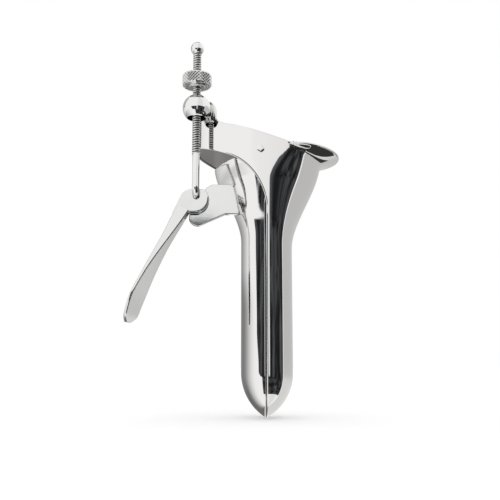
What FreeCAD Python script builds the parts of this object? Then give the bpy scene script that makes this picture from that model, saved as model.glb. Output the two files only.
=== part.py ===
import math
import os

import FreeCAD
import Part
from FreeCAD import Vector

# Bivalve speculum, closed, blades down. X runs across the parting of the two valves,
# Y along their hinge and Z along the blades. The origin is in the middle of the mouth,
# on the parting of the blades and level with the hinge. All lengths are millimetres.

# Sheet and blades
sheet = 1.1
blade_length = 96.0
blade_half_width = 15.0
lower_blade_depth = 9.4
upper_blade_depth = 9.6
seam_x = -0.5
seam_gap = 0.16
nose_height = 16.0
nose_half_width_height = 15.0
tip_flat_depth = 0.5
tip_flat_half_width = 2.6
nose_wall = 2.2

# Mouth of the lower valve, which carries the hoop
mouth_half_width = 17.0
mouth_right_reach = 20.7
mouth_left_reach = 28.2
mouth_right_flat = 7.5
mouth_left_flat = 5.0
blade_flat = 0.4
hoop_flat = 2.0
split_x = -0.8
lap_x = 8.0
section_pitch = 4.0
flare_start_z = -36.0
flare_end_z = 0.0
cheek_start_z = -38.0
cheek_end_z = -20.0
flat_start_z = -14.0
rim_left_z = 12.5
rim_middle_x = 1.0
rim_middle_z = 5.4
rim_right_z = -2.8
edge_turn_z = -20.0
edge_slope_x = -13.0
edge_slope_z = -2.3
edge_bulge = 3.5
edge_left_z = 4.3

# Flared lip on the right of the mouth
lip_width = 7.4
lip_rise = 3.9
lip_drop = 3.0
lip_end_angle = 74.0
lip_thickness = 1.0

# Upper valve, which nests between the cheeks of the lower one
cheek_clearance = 0.2
upper_mouth_reach = 19.2
upper_flare_start_z = -32.0
upper_flare_end_z = -1.0
upper_cheek_start_z = -20.0
upper_cheek_end_z = -5.0
upper_flat = 4.5
upper_rim_z = -0.9
upper_rim_slope = 0.17
ear_radius = 5.5

# Hinge rivets
hinge_x = -2.5
rivet_radius = 1.25
rivet_clearance = 0.05
rivet_head_radius = 1.7
rivet_head_height = 0.35
rivet_tail_radius = 2.1
rivet_tail_height = 0.6

# Lug on the hoop, and the ball riveted to it
lug_angle = 40.0
lug_top_z = 20.0
lug_half_width = 4.6
lug_flare = 3.4
ball_radius = 5.16
ball_z = 16.0
ball_hole_top_radius = 2.05
ball_hole_bottom_radius = 3.75
ball_hole_neck = 1.6
ball_rivet_radius = 1.5
ball_rivet_head_radius = 2.5
ball_rivet_head_height = 0.8
ball_seat_depth = 0.35

# Screw rod, its stop and its nut
thread_radius = 1.57
shank_radius = 1.33
thread_end_z = -1.7
rod_top_z = 38.6
bend_radius = 2.3
pin_z = -16.2
pin_clearance = 0.08
pin_tail = 1.0
stop_radius = 2.5
stop_z = 39.4
nut_radius = 5.5
nut_height = 4.5
nut_z = 24.5
nut_chamfer = 0.5
nut_thread_clearance = 0.05
nut_collar_radius = 3.0
nut_collar_height = 0.7

# Bracket on the crest of the upper valve
saddle_thickness = 1.3
saddle_half_width = 9.0
saddle_top_z = -3.4
saddle_shoulder_z = -11.5
saddle_neck_z = -16.0
saddle_neck_half_width = 3.2
saddle_end_z = -20.3
braze_gap = 0.03
flange_thickness = 2.0

# Thumb lever, brazed to the flange of the bracket
lever_front_y = -11.8
lever_thickness = 3.0
head_bottom_z = -22.4
paddle_width = 14.2
paddle_thickness = 1.3
paddle_tilt = 12.0
slot_drop = 2.6

FAR = 60.0


def smoothstep(z, start, end):
    """Rises smoothly from 0 at start to 1 at end."""
    share = min(max((z - start) / (end - start), 0.0), 1.0)
    return share * share * (3.0 - 2.0 * share)


def blend(low, high, share):
    return low + (high - low) * share


def nose_depth(height, depth):
    """Side view of the nose: a pointed arch whose arc is tangent to the blade."""
    if height >= nose_height:
        return depth
    radius = (nose_height ** 2 + depth ** 2) / (2.0 * depth)
    return max(depth - radius + math.sqrt(radius ** 2 - (nose_height - height) ** 2), tip_flat_depth)


def nose_width(height, half_width):
    """Front view of the nose: half an ellipse."""
    if height >= nose_half_width_height:
        return half_width
    share = 1.0 - height / nose_half_width_height
    return max(half_width * math.sqrt(1.0 - share ** 2), tip_flat_half_width)


def half_ellipse(centre_x, reach, half_width, side, z):
    """Half an ellipse on one side of centre_x, from -Y to +Y, at height z."""
    arc = Part.Arc(Vector(0, -1, 0), Vector(1, 0, 0), Vector(0, 1, 0)).toBSpline()
    for index, pole in enumerate(arc.getPoles(), start=1):
        place = Vector(centre_x + side * reach * pole.x, half_width * pole.y, z)
        arc.setPole(index, place)
    return arc.toShape()


def channel_wire(z, side, flat, reach, half_width, open_x):
    """Half of a section: half an ellipse on one side with two flat cheeks, closed at open_x."""
    curve = half_ellipse(side * flat, reach - flat, half_width, side, z)
    near = Part.makeLine(Vector(open_x, -half_width, z), Vector(side * flat, -half_width, z))
    far = Part.makeLine(Vector(side * flat, half_width, z), Vector(open_x, half_width, z))
    end = Part.makeLine(Vector(open_x, half_width, z), Vector(open_x, -half_width, z))
    return Part.Wire([near, curve, far, end])


def section_heights(bottom, top):
    """Heights of the sections: close together in the nose, the flare and the hoop."""
    nose = [-blade_length + step for step in (0.0, 0.8, 2.0, 4.0, 6.5, 9.5, 12.5, nose_height, 20.0)]
    blade = [-blade_length + step for step in (25.0, 31.0, 37.0, 43.0, 48.0, 52.0, 56.0)]
    start = nose[-1] if not blade else blade[-1]
    steps = max(int(round((top - start) / section_pitch)), 1)
    rest = [start + (top - start) * index / steps for index in range(1, steps)]
    inside = [z for z in nose + blade + rest if bottom + 0.3 < z < top - 0.3]
    return [bottom] + inside + [top]


def lower_section(z, side, inset, open_x):
    """Section of the lower valve: blade and flare on the right, hoop on the left."""
    height = z + blade_length
    flare = smoothstep(z, flare_start_z, flare_end_z)
    cheek = smoothstep(z, cheek_start_z, cheek_end_z)
    depth = nose_depth(height, lower_blade_depth)
    half_width = nose_width(height, blade_half_width)
    half_width += (mouth_half_width - blade_half_width) * cheek
    mouth_reach = mouth_right_reach if side > 0 else mouth_left_reach
    mouth_flat = mouth_right_flat if side > 0 else mouth_left_flat
    reach = depth + (mouth_reach - lower_blade_depth) * flare
    least_flat = min(blade_flat, 0.5 * depth) if side > 0 else hoop_flat
    flat = blend(least_flat, mouth_flat, smoothstep(z, flat_start_z, flare_end_z))
    return channel_wire(z, side, flat, reach - inset, half_width - inset, open_x)


def upper_section(z, inset, open_x):
    height = z + blade_length
    flare = smoothstep(z, upper_flare_start_z, upper_flare_end_z)
    cheek = smoothstep(z, upper_cheek_start_z, upper_cheek_end_z)
    nested = mouth_half_width - sheet - cheek_clearance
    depth = nose_depth(height, upper_blade_depth)
    half_width = nose_width(height, blade_half_width) + (nested - blade_half_width) * cheek
    reach = depth + (upper_mouth_reach - upper_blade_depth) * flare
    flat = blend(min(blade_flat, 0.5 * depth), upper_flat, cheek)
    return channel_wire(z, -1, flat, reach - inset, half_width - inset, open_x)


def loft(section, bottom, top):
    return Part.makeLoft([section(z) for z in section_heights(bottom, top)], True, False)


def prism_y(points_face, y0, y1):
    """Extrudes a face drawn at Y = 0 from y0 to y1."""
    face = points_face.copy()
    face.translate(Vector(0, y0, 0))
    return face.extrude(Vector(0, y1 - y0, 0))


def at(x, z):
    return Vector(x, 0, z)


def face_of(edges):
    return Part.Face(Part.Wire(edges))


def cylinder_y(radius, x, z, y0, y1):
    return Part.makeCylinder(radius, y1 - y0, Vector(x, y0, z), Vector(0, 1, 0))


def rim_height(x):
    """Height of the rim: an arc through its left end, its middle and its right end."""
    circle = Part.Arc(*rim_points()).toShape().Curve
    centre, radius = circle.Center, circle.Radius
    return centre.z + math.sqrt(radius ** 2 - (x - centre.x) ** 2)


def rim_points():
    return (at(-mouth_left_reach, rim_left_z), at(rim_middle_x, rim_middle_z),
            at(mouth_right_reach, rim_right_z))


def lower_side_view():
    """Side view that trims the lower valve: seam, swept lower edge of the hoop, and rim."""
    bottom = -blade_length - 1.0
    left = -mouth_left_reach - 2.0
    right = mouth_right_reach + 2.0
    turn = at(seam_x, edge_turn_z)
    slope = at(edge_slope_x, edge_slope_z)
    chord = turn - slope
    across = Vector(-chord.z, 0, chord.x).normalize()
    middle = (turn + slope) * 0.5 - across * -edge_bulge
    low_left = at(left, edge_left_z)
    rim = rim_points()
    return face_of([
        Part.makeLine(at(seam_x, bottom), turn),
        Part.Arc(turn, middle, slope).toShape(),
        Part.makeLine(slope, low_left),
        Part.makeLine(low_left, at(left, rim_left_z)),
        Part.makeLine(at(left, rim_left_z), rim[0]),
        Part.Arc(*rim).toShape(),
        Part.makeLine(rim[2], at(right, rim_right_z)),
        Part.makeLine(at(right, rim_right_z), at(right, bottom)),
        Part.makeLine(at(right, bottom), at(seam_x, bottom)),
    ])


def hoop_end(angle):
    """Point and outward normal on the left end of the hoop, angle from -X towards -Y."""
    turn = math.radians(angle)
    reach = mouth_left_reach - mouth_left_flat
    point = Vector(-mouth_left_flat - reach * math.cos(turn), -mouth_half_width * math.sin(turn), 0)
    normal = Vector(-math.cos(turn) / reach, -math.sin(turn) / mouth_half_width, 0).normalize()
    return point, normal


def lug_prism(seat, normal):
    """Outline of the lug seen along its normal, from below the rim to its rounded top."""
    along = Vector(-normal.y, normal.x, 0)
    shoulder_z = lug_top_z - lug_half_width
    wide = lug_half_width + lug_flare

    def spot(s, z):
        return seat + along * s + Vector(0, 0, z)

    def flank(side):
        """Root, foot on the rim, middle of the flare and waist, on one side of the lug."""
        rim = rim_height(max(seat.x + along.x * side * wide, -mouth_left_reach))
        root = spot(side * wide, rim - 3.0)
        foot = spot(side * wide, rim - 0.2)
        waist = spot(side * lug_half_width, rim_height(seat.x) + lug_flare)
        corner = spot(side * lug_half_width, rim)
        middle = (foot + waist) * 0.5 * 0.65 + corner * 0.35
        return root, foot, middle, waist

    root_a, foot_a, middle_a, waist_a = flank(-1)
    root_b, foot_b, middle_b, waist_b = flank(1)
    shoulder_a = spot(-lug_half_width, shoulder_z)
    shoulder_b = spot(lug_half_width, shoulder_z)
    outline = face_of([
        Part.makeLine(root_a, root_b),
        Part.makeLine(root_b, foot_b),
        Part.Arc(foot_b, middle_b, waist_b).toShape(),
        Part.makeLine(waist_b, shoulder_b),
        Part.Arc(shoulder_b, spot(0, lug_top_z), shoulder_a).toShape(),
        Part.makeLine(shoulder_a, waist_a),
        Part.Arc(waist_a, middle_a, foot_a).toShape(),
        Part.makeLine(foot_a, root_a),
    ])
    outline.translate(normal * -5.0)
    return outline.extrude(normal * 10.0)


def lip_section(angle):
    """Cross-section of the lip in the plane that stands square to the rim at this angle."""
    turn = math.radians(angle)
    reach = mouth_right_reach - mouth_right_flat
    foot = Vector(mouth_right_flat + reach * math.cos(turn), mouth_half_width * math.sin(turn), 0)
    out = Vector(math.cos(turn) / reach, math.sin(turn) / mouth_half_width, 0).normalize()
    share = abs(angle) / (lip_end_angle + 1.5)
    width = lip_width * (1.0 - share ** 2) ** 0.6
    rise = 0.3 + (lip_rise - 0.3) * math.cos(0.5 * math.pi * share) ** 1.5
    drop = lip_drop * (0.25 + 0.75 * width / lip_width)
    rim = rim_height(min(foot.x, mouth_right_reach))

    def spot(outward, z):
        return foot + out * outward + Vector(0, 0, rim + z)

    inner_top = spot(-sheet, 0.0)
    upper_mid = spot(-sheet + 0.33 * (width + sheet), 0.66 * rise)
    upper_end = spot(width, rise)
    lower_end = spot(width + 0.1, rise - lip_thickness)
    lower_mid = spot(0.28 * width, 0.3 * (rise - lip_thickness) - 0.25 * drop)
    lower_start = spot(0.0, -drop)
    return Part.Wire([
        Part.Arc(inner_top, upper_mid, upper_end).toShape(),
        Part.makeLine(upper_end, lower_end),
        Part.Arc(lower_end, lower_mid, lower_start).toShape(),
        Part.makeLine(lower_start, spot(-sheet, -drop)),
        Part.makeLine(spot(-sheet, -drop), inner_top),
    ])


def make_lip():
    steps = [-1.0, -0.95, -0.86, -0.72, -0.55, -0.36, -0.18, 0.0]
    angles = [lip_end_angle * step for step in steps]
    angles += [-angle for angle in reversed(angles[:-1])]
    return Part.makeLoft([lip_section(angle) for angle in angles], True, False)


def lower_shell(side, bottom, top):
    """One side of the lower valve's wall, cut off square where the two sides meet."""
    overlap = -side * lap_x
    inner_bottom = bottom + nose_wall if bottom == -blade_length else bottom
    outer = loft(lambda z: lower_section(z, side, 0.0, overlap), bottom, top)
    inner = loft(lambda z: lower_section(z, side, sheet, overlap - side), inner_bottom, top)
    corner_x = split_x if side > 0 else split_x - 2 * FAR
    keep = Part.makeBox(2 * FAR, 2 * FAR, 4 * FAR, Vector(corner_x, -FAR, -2 * FAR))
    return outer.cut(inner).common(keep)


def make_lower_valve(seat, normal):
    top = lug_top_z + 2.0
    blade = lower_shell(1, -blade_length, cheek_end_z)
    mouth = lower_shell(1, cheek_end_z, top)
    hoop = lower_shell(-1, cheek_end_z, top)
    trim = prism_y(lower_side_view(), -FAR, FAR)
    lug = hoop.common(lug_prism(seat, normal))
    valve = mouth.common(trim).fuse(hoop.common(trim)).fuse(blade.common(trim)).fuse([lug, make_lip()])
    for y0, y1 in ((-FAR, 0), (0, FAR)):
        valve = valve.cut(cylinder_y(rivet_radius, hinge_x, 0, y0, y1))
    hole = Part.makeCylinder(ball_rivet_radius, 8.0, seat + Vector(0, 0, ball_z) - normal * 4.0, normal)
    return valve.cut(hole).removeSplitter()


def upper_outer(inset, bottom=-blade_length, top=ear_radius + 2.0):
    return loft(lambda z: upper_section(z, inset, lap_x - inset), bottom, top)


def upper_side_view():
    """Side view that trims the upper valve: seam, ear round the hinge, and rim."""
    seam = seam_x - seam_gap
    left = -upper_mouth_reach - 4.0
    bottom = -blade_length - 1.0
    start = hinge_x - ear_radius
    blade = face_of([
        Part.makeLine(at(seam, bottom), at(seam, edge_turn_z)),
        Part.makeLine(at(seam, edge_turn_z), at(hinge_x + ear_radius, -1.0)),
        Part.makeLine(at(hinge_x + ear_radius, -1.0), at(hinge_x, 1.0)),
        Part.makeLine(at(hinge_x, 1.0), at(start, upper_rim_z)),
        Part.makeLine(at(start, upper_rim_z), at(left, upper_rim_z + upper_rim_slope * (left - start))),
        Part.makeLine(at(left, upper_rim_z + upper_rim_slope * (left - start)), at(left, bottom)),
        Part.makeLine(at(left, bottom), at(seam, bottom)),
    ])
    return blade


def make_upper_valve():
    inner = loft(lambda z: upper_section(z, sheet, lap_x + 1.0), -blade_length + nose_wall, ear_radius + 3.0)
    shell = upper_outer(0.0).cut(inner)
    ear = cylinder_y(ear_radius, hinge_x, 0, -FAR, FAR)
    trim = prism_y(upper_side_view(), -FAR, FAR).fuse(ear)
    valve = shell.common(trim)
    return valve.cut(cylinder_y(rivet_radius + rivet_clearance, hinge_x, 0, -FAR, FAR)).removeSplitter()


def make_hinge_rivet(side):
    """Rivet through both cheeks on one side: round head outside, flat tail inside."""
    outside = mouth_half_width
    inside = mouth_half_width - 2 * sheet - cheek_clearance - 0.1
    shank = Part.makeCylinder(rivet_radius, outside - inside, Vector(hinge_x, inside, 0), Vector(0, 1, 0))
    dome_radius = (rivet_head_radius ** 2 + rivet_head_height ** 2) / (2.0 * rivet_head_height)
    dome = Part.makeSphere(dome_radius, Vector(hinge_x, outside + rivet_head_height - dome_radius, 0))
    head = dome.common(cylinder_y(rivet_head_radius, hinge_x, 0, outside, outside + 1.0))
    tail = cylinder_y(rivet_tail_radius, hinge_x, 0, inside - rivet_tail_height, inside)
    rivet = shank.fuse([head, tail])
    if side < 0:
        rivet = rivet.mirror(Vector(0, 0, 0), Vector(0, 1, 0))
    return rivet.removeSplitter()


def make_ball(centre, normal):
    """Drilled ball: a neck at the top, flared below so that the rod can tilt in it."""
    ball = Part.makeSphere(ball_radius, centre)
    neck_z = centre.z + ball_radius - ball_hole_neck
    neck = Part.makeCylinder(ball_hole_top_radius, 2 * ball_hole_neck, Vector(centre.x, centre.y, neck_z))
    depth = 2 * ball_radius - ball_hole_neck
    flare = Part.makeCone(ball_hole_bottom_radius, ball_hole_top_radius, depth,
                          Vector(centre.x, centre.y, neck_z - depth))
    seat_plane = centre - normal * (ball_radius - ball_seat_depth)
    beyond = Part.makeCylinder(ball_radius, ball_radius, seat_plane - normal * ball_radius, normal)
    pin = Part.makeCylinder(ball_rivet_radius, ball_radius, centre - normal * ball_radius, normal)
    return ball.cut([neck, flare, beyond, pin]).removeSplitter()


def make_ball_rivet(centre, seat, normal):
    """Pin that holds the ball on the lug, headed on the inside of the hoop."""
    pin_end = centre - normal * (ball_hole_bottom_radius + 0.15)
    inside = seat + Vector(0, 0, centre.z) - normal * (sheet + 0.15)
    length = (pin_end - inside).Length
    pin = Part.makeCylinder(ball_rivet_radius, length, inside, normal)
    head = Part.makeCone(ball_rivet_head_radius * 0.7, ball_rivet_head_radius, ball_rivet_head_height,
                         inside - normal * ball_rivet_head_height, normal)
    return pin.fuse(head)


def make_rod(x, y, flange_back_y):
    """Threaded rod whose lower end bends back through the head of the lever."""
    thread = Part.makeCylinder(thread_radius, rod_top_z - thread_end_z, Vector(x, y, thread_end_z))
    bend_z = pin_z + bend_radius
    shank = Part.makeCylinder(shank_radius, thread_end_z - bend_z, Vector(x, y, bend_z))
    centre = Vector(x, y + bend_radius, bend_z)
    ring = Part.makeTorus(bend_radius, shank_radius, centre, Vector(1, 0, 0))
    quarter = Part.makeBox(4 * shank_radius, bend_radius + shank_radius, bend_radius + shank_radius,
                           centre - Vector(2 * shank_radius, bend_radius + shank_radius,
                                           bend_radius + shank_radius))
    bend = ring.common(quarter)
    pin = cylinder_y(shank_radius, x, pin_z, y + bend_radius, flange_back_y + pin_tail)
    return thread.fuse([shank, bend, pin]).removeSplitter()


def make_stop(x, y):
    ball = Part.makeSphere(stop_radius, Vector(x, y, stop_z))
    seat = Part.makeCylinder(thread_radius, rod_top_z - (stop_z - 2 * stop_radius),
                             Vector(x, y, stop_z - 2 * stop_radius))
    return ball.cut(seat)


def make_nut(x, y):
    nut = Part.makeCylinder(nut_radius, nut_height, Vector(x, y, nut_z))
    rims = [edge for edge in nut.Edges if isinstance(edge.Curve, Part.Circle)]
    nut = nut.makeChamfer(nut_chamfer, rims)
    collar = Part.makeCylinder(nut_collar_radius, nut_collar_height + 0.1,
                               Vector(x, y, nut_z - nut_collar_height))
    bore = Part.makeCylinder(thread_radius + nut_thread_clearance, nut_height + 4 * nut_collar_height,
                             Vector(x, y, nut_z - 2 * nut_collar_height))
    return nut.fuse(collar).cut(bore).removeSplitter()


def make_slot(x, y0, y1):
    """Upright slot that holds the bent end of the rod."""
    radius = shank_radius + pin_clearance
    top = cylinder_y(radius, x, pin_z, y0, y1)
    bottom = cylinder_y(radius, x, pin_z - slot_drop, y0, y1)
    middle = Part.makeBox(2 * radius, y1 - y0, slot_drop, Vector(x - radius, y0, pin_z - slot_drop))
    return top.fuse([bottom, middle])


def saddle_outline():
    """Saddle seen along X: broad under the rim, then necked down to a rounded tongue."""
    shoulder_y = saddle_half_width
    neck_y = saddle_neck_half_width
    tongue_z = saddle_end_z + neck_y
    edges = [
        Part.makeLine(Vector(0, -shoulder_y, saddle_top_z), Vector(0, shoulder_y, saddle_top_z)),
        Part.makeLine(Vector(0, shoulder_y, saddle_top_z), Vector(0, shoulder_y, saddle_shoulder_z)),
        Part.makeLine(Vector(0, shoulder_y, saddle_shoulder_z), Vector(0, neck_y, saddle_neck_z)),
        Part.makeLine(Vector(0, neck_y, saddle_neck_z), Vector(0, neck_y, tongue_z)),
        Part.Arc(Vector(0, neck_y, tongue_z), Vector(0, 0, saddle_end_z),
                 Vector(0, -neck_y, tongue_z)).toShape(),
        Part.makeLine(Vector(0, -neck_y, tongue_z), Vector(0, -neck_y, saddle_neck_z)),
        Part.makeLine(Vector(0, -neck_y, saddle_neck_z), Vector(0, -shoulder_y, saddle_shoulder_z)),
        Part.makeLine(Vector(0, -shoulder_y, saddle_shoulder_z), Vector(0, -shoulder_y, saddle_top_z)),
    ]
    return face_of(edges)


def flange_outline(x):
    """Flange seen from the front: it stands out from the crest and backs the lever's head."""
    base_x = -saddle_half_width
    top = at(x + 5.9, saddle_shoulder_z + 0.2)
    top_left = at(x + 3.7, saddle_shoulder_z - 0.9)
    side = at(x + 2.2, pin_z + 1.0)
    low_left = at(x - 2.8, head_bottom_z - 2.4)
    low_mid = at(x - 0.4, head_bottom_z - 4.4)
    low_right = at(x + 2.1, head_bottom_z - 4.0)
    heel = at(x + 10.4, head_bottom_z - 0.2)
    return face_of([
        Part.makeLine(at(base_x, saddle_shoulder_z + 0.2), top),
        Part.Arc(top, top_left, side).toShape(),
        Part.makeLine(side, at(x - 2.8, pin_z)),
        Part.makeLine(at(x - 2.8, pin_z), low_left),
        Part.Arc(low_left, low_mid, low_right).toShape(),
        Part.makeLine(low_right, heel),
        Part.makeLine(heel, at(base_x, head_bottom_z - 0.2)),
        Part.makeLine(at(base_x, head_bottom_z - 0.2), at(base_x, saddle_shoulder_z + 0.2)),
    ])


def make_bracket(x, y0, y1):
    outside = upper_outer(-braze_gap - saddle_thickness, -40.0)
    seat = upper_outer(-braze_gap, -45.0)
    reach = face_of_saddle_prism()
    saddle = outside.cut(seat).common(reach)
    flange = prism_y(flange_outline(x), y0, y1).cut(seat)
    bracket = saddle.fuse(flange)
    return bracket.cut(make_slot(x, y0 - 1.0, y1 + 1.0)).removeSplitter()


def face_of_saddle_prism():
    outline = saddle_outline()
    outline.translate(Vector(-upper_mouth_reach - 5.0, 0, 0))
    return outline.extrude(Vector(upper_mouth_reach, 0, 0))


def head_outline(x):
    """Head of the lever seen from the front: a rounded top and nose over a flat foot."""
    left = at(x - 5.9, pin_z - 0.6)
    left_top = at(x - 4.1, pin_z + 1.7)
    top_left = at(x - 0.8, pin_z + 2.4)
    top_right = at(x + 2.4, pin_z + 2.4)
    nose = at(x + 4.4, pin_z - 1.2)
    nose_low = at(x + 3.0, pin_z - 4.6)
    foot = at(x - 0.2, head_bottom_z)
    corner = at(x - 2.9, head_bottom_z)
    shoulder = at(x - 9.0, head_bottom_z - 1.0)
    return face_of([
        Part.Arc(left, left_top, top_left).toShape(),
        Part.makeLine(top_left, top_right),
        Part.Arc(top_right, at(x + 4.0, pin_z + 1.2), nose).toShape(),
        Part.Arc(nose, nose_low, foot).toShape(),
        Part.makeLine(foot, corner),
        Part.makeLine(corner, shoulder),
        Part.makeLine(shoulder, left),
    ])


def bar_section(station, axis, middle_y):
    """Rounded rectangle across the lever's arm: tall at the head, flat and wide at the paddle."""
    x, z, tall, wide, tilt = station
    turn = math.radians(tilt)
    up = Vector(-axis.z, 0, axis.x)
    if up.x > 0:
        up = up * -1
    deep = (Vector(0, 1, 0) * math.cos(turn) - up * math.sin(turn)).normalize()
    normal = deep.cross(axis).normalize()
    near = Vector(x, middle_y - 0.5 * wide, z)
    centre = near + deep * (0.5 * wide)
    half_t = 0.5 * tall
    corner = min(0.35 * tall, 0.6)
    half_w = 0.5 * wide
    points = []
    for a, b in ((-half_w, -half_t + corner), (-half_w, half_t - corner), (-half_w + corner, half_t),
                 (half_w - corner, half_t), (half_w, half_t - corner), (half_w, -half_t + corner),
                 (half_w - corner, -half_t), (-half_w + corner, -half_t)):
        points.append(centre + deep * a + normal * b)
    return Part.makePolygon(points + [points[0]])


def arm_stations(x):
    """Down the arm: place of its front edge, height, depth front to back, and tilt in degrees."""
    return [
        (x - 4.5, head_bottom_z + 1.7, 4.3, lever_thickness, 0.0),
        (x - 6.15, head_bottom_z - 0.75, 4.3, lever_thickness, 0.0),
        (x - 9.5, head_bottom_z - 7.0, 3.3, 4.4, 0.25 * paddle_tilt),
        (x - 13.2, head_bottom_z - 13.6, 2.35, 7.0, 0.7 * paddle_tilt),
        (x - 16.6, head_bottom_z - 19.7, 1.65, 10.0, 0.9 * paddle_tilt),
        (x - 19.35, head_bottom_z - 25.15, paddle_thickness, 12.4, paddle_tilt),
        (x - 21.9, head_bottom_z - 30.8, paddle_thickness, paddle_width, paddle_tilt),
        (x - 23.4, head_bottom_z - 35.6, paddle_thickness, 0.93 * paddle_width, paddle_tilt),
        (x - 24.0, head_bottom_z - 38.3, paddle_thickness, 0.68 * paddle_width, paddle_tilt),
        (x - 24.15, head_bottom_z - 39.7, 0.8 * paddle_thickness, 0.25 * paddle_width, paddle_tilt),
    ]


def make_lever(x):
    middle_y = lever_front_y + 0.5 * lever_thickness
    stations = arm_stations(x)
    wires = []
    for index, station in enumerate(stations):
        before = stations[max(index - 1, 0)]
        after = stations[min(index + 1, len(stations) - 1)]
        axis = Vector(after[0] - before[0], 0, after[1] - before[1]).normalize()
        wires.append(bar_section(station, axis, middle_y))
    arm = Part.makeLoft(wires, True, False)
    head = prism_y(head_outline(x), lever_front_y, lever_front_y + lever_thickness)
    trim = prism_y(head_outline(x), lever_front_y - 5.0, lever_front_y)
    behind = prism_y(head_outline(x), lever_front_y + lever_thickness, lever_front_y + 10.0)
    slot = make_slot(x, lever_front_y - 1.0, lever_front_y + lever_thickness + 1.0)
    return head.fuse(arm).cut([trim, behind, slot]).removeSplitter()


# Placements shared by several pieces
lug_seat, lug_normal = hoop_end(lug_angle)
rod_offset = lug_normal * (ball_radius - ball_seat_depth)
rod_x = lug_seat.x + rod_offset.x
rod_y = lug_seat.y + rod_offset.y
ball_centre = Vector(rod_x, rod_y, ball_z)
flange_front_y = lever_front_y + lever_thickness
flange_back_y = flange_front_y + flange_thickness

if __name__ == "__main__":
    os.makedirs("parts", exist_ok=True)
    print("rod", rod_x, rod_y)
    pieces = {
        "lower_valve": make_lower_valve(lug_seat, lug_normal),
        "upper_valve": make_upper_valve(),
        "hinge_rivet_front": make_hinge_rivet(-1),
        "hinge_rivet_back": make_hinge_rivet(1),
        "screw_ball": make_ball(ball_centre, lug_normal),
        "ball_rivet": make_ball_rivet(ball_centre, lug_seat, lug_normal),
        "screw_rod": make_rod(rod_x, rod_y, flange_back_y),
        "end_stop": make_stop(rod_x, rod_y),
        "knurled_nut": make_nut(rod_x, rod_y),
        "lever_bracket": make_bracket(rod_x, flange_front_y, flange_back_y),
        "thumb_lever": make_lever(rod_x),
    }
    for name, shape in pieces.items():
        print(name, shape.isValid(), len(shape.Solids), round(shape.Volume, 1), len(shape.Faces))
        shape.exportStep("parts/" + name + ".step")
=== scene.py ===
import math

import bmesh
import bpy
import numpy as np
from mathutils import Matrix, Vector


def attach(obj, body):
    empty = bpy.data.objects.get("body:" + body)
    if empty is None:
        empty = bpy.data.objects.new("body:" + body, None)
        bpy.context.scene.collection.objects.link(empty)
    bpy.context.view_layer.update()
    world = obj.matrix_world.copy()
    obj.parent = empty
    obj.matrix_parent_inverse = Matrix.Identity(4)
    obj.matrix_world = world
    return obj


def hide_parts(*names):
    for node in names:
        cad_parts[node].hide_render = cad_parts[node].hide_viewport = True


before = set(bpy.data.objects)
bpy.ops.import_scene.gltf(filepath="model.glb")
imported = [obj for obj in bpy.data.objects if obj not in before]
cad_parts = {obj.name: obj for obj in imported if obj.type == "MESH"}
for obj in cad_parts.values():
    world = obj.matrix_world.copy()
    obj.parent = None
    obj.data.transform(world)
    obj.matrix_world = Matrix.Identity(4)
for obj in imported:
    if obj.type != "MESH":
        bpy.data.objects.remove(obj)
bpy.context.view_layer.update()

# Lower valve: the right blade, its flare and lip, and the hoop with the screw's lug, pressed
# and brazed from one 1.1 mm sheet of stainless steel and polished to a mirror, edges rounded.
# The pieces' lengths are in millimetres and become metres where a mesh is made. The studio at the
# end and the scratches' heights are in metres.
sheet = 1.1
sheet_edge = 0.42
blade_length, blade_half, blade_depth, nose_length = 96.0, 15.0, 9.4, 16.0
lower_seam = -0.5
lower_mouth = 17.0
# up to this height a valve is a plain blade; above it come the hoop or the ears
split_z = -20.0
edge_steps = np.radians([0.0, 22.5, 45.0, 67.5, 90.0])
edge_rows = 1.0 - np.cos(edge_steps)


def rise(z, start, end):
    """0 at start, 1 at end, smooth between."""
    share = np.clip((z - start) / (end - start), 0.0, 1.0)
    return share * share * (3.0 - 2.0 * share)


def nose_depth(height, depth):
    """Depth of a blade above its tip, where the side view is a pointed arch."""
    radius = (nose_length ** 2 + depth ** 2) / (2.0 * depth)
    short = np.maximum(nose_length - height, 0.0)
    return np.maximum(depth - radius + np.sqrt(np.maximum(radius ** 2 - short ** 2, 0.0)), 0.0)


def nose_half_width(height):
    """Half width of a blade above its tip, where the front view is round."""
    short = np.clip(1.0 - height / blade_half, 0.0, 1.0)
    return blade_half * np.sqrt(np.maximum(1.0 - short ** 2, 0.0))


def fuller(q, fullness):
    """Sine or cosine of a section's turn, pushed outwards between the crest and the edges."""
    return (q * (1.0 + 3.0 * fullness) - 4.0 * fullness * q ** 3) / (1.0 - fullness)


def flat_share(start, centre, reach, half_width):
    """Share of half a section's length that its flat takes, before the bow to the crest."""
    flat = np.abs(centre - start)
    bow = 0.5 * np.pi * np.sqrt(0.5 * ((reach - centre) ** 2 + half_width ** 2))
    return flat / np.maximum(flat + bow, 1e-9)


def channel(w, start, centre, reach, half_width, fullness):
    """Point of a channel's section: w is 0 at the near edge, 1 on the crest and 2 at the far edge."""
    share = flat_share(start, centre, reach, half_width)
    near = np.where(w <= 1.0, w, 2.0 - w)
    turn = np.clip((near - share) / (1.0 - share), 0.0, 1.0) * 0.5 * np.pi
    on_flat = near < share
    x = np.where(on_flat, start + (centre - start) * near / np.maximum(share, 1e-9),
                 centre + (reach - centre) * fuller(np.sin(turn), fullness))
    y = np.where(on_flat, half_width, half_width * fuller(np.cos(turn), fullness))
    return x, np.where(w <= 1.0, -y, y)


def column_through(x, start, section):
    """The w at which a channel's section passes through x."""
    centre, reach, half_width, _ = section
    share = flat_share(start, centre, reach, half_width)
    turn = np.arcsin(np.clip((x - centre) / (reach - centre), 0.0, 1.0))
    on_flat = share * (x - start) / np.minimum(centre - start, -1e-9)
    return np.where(x > centre, on_flat, share + (1.0 - share) * turn / (0.5 * np.pi))


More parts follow.
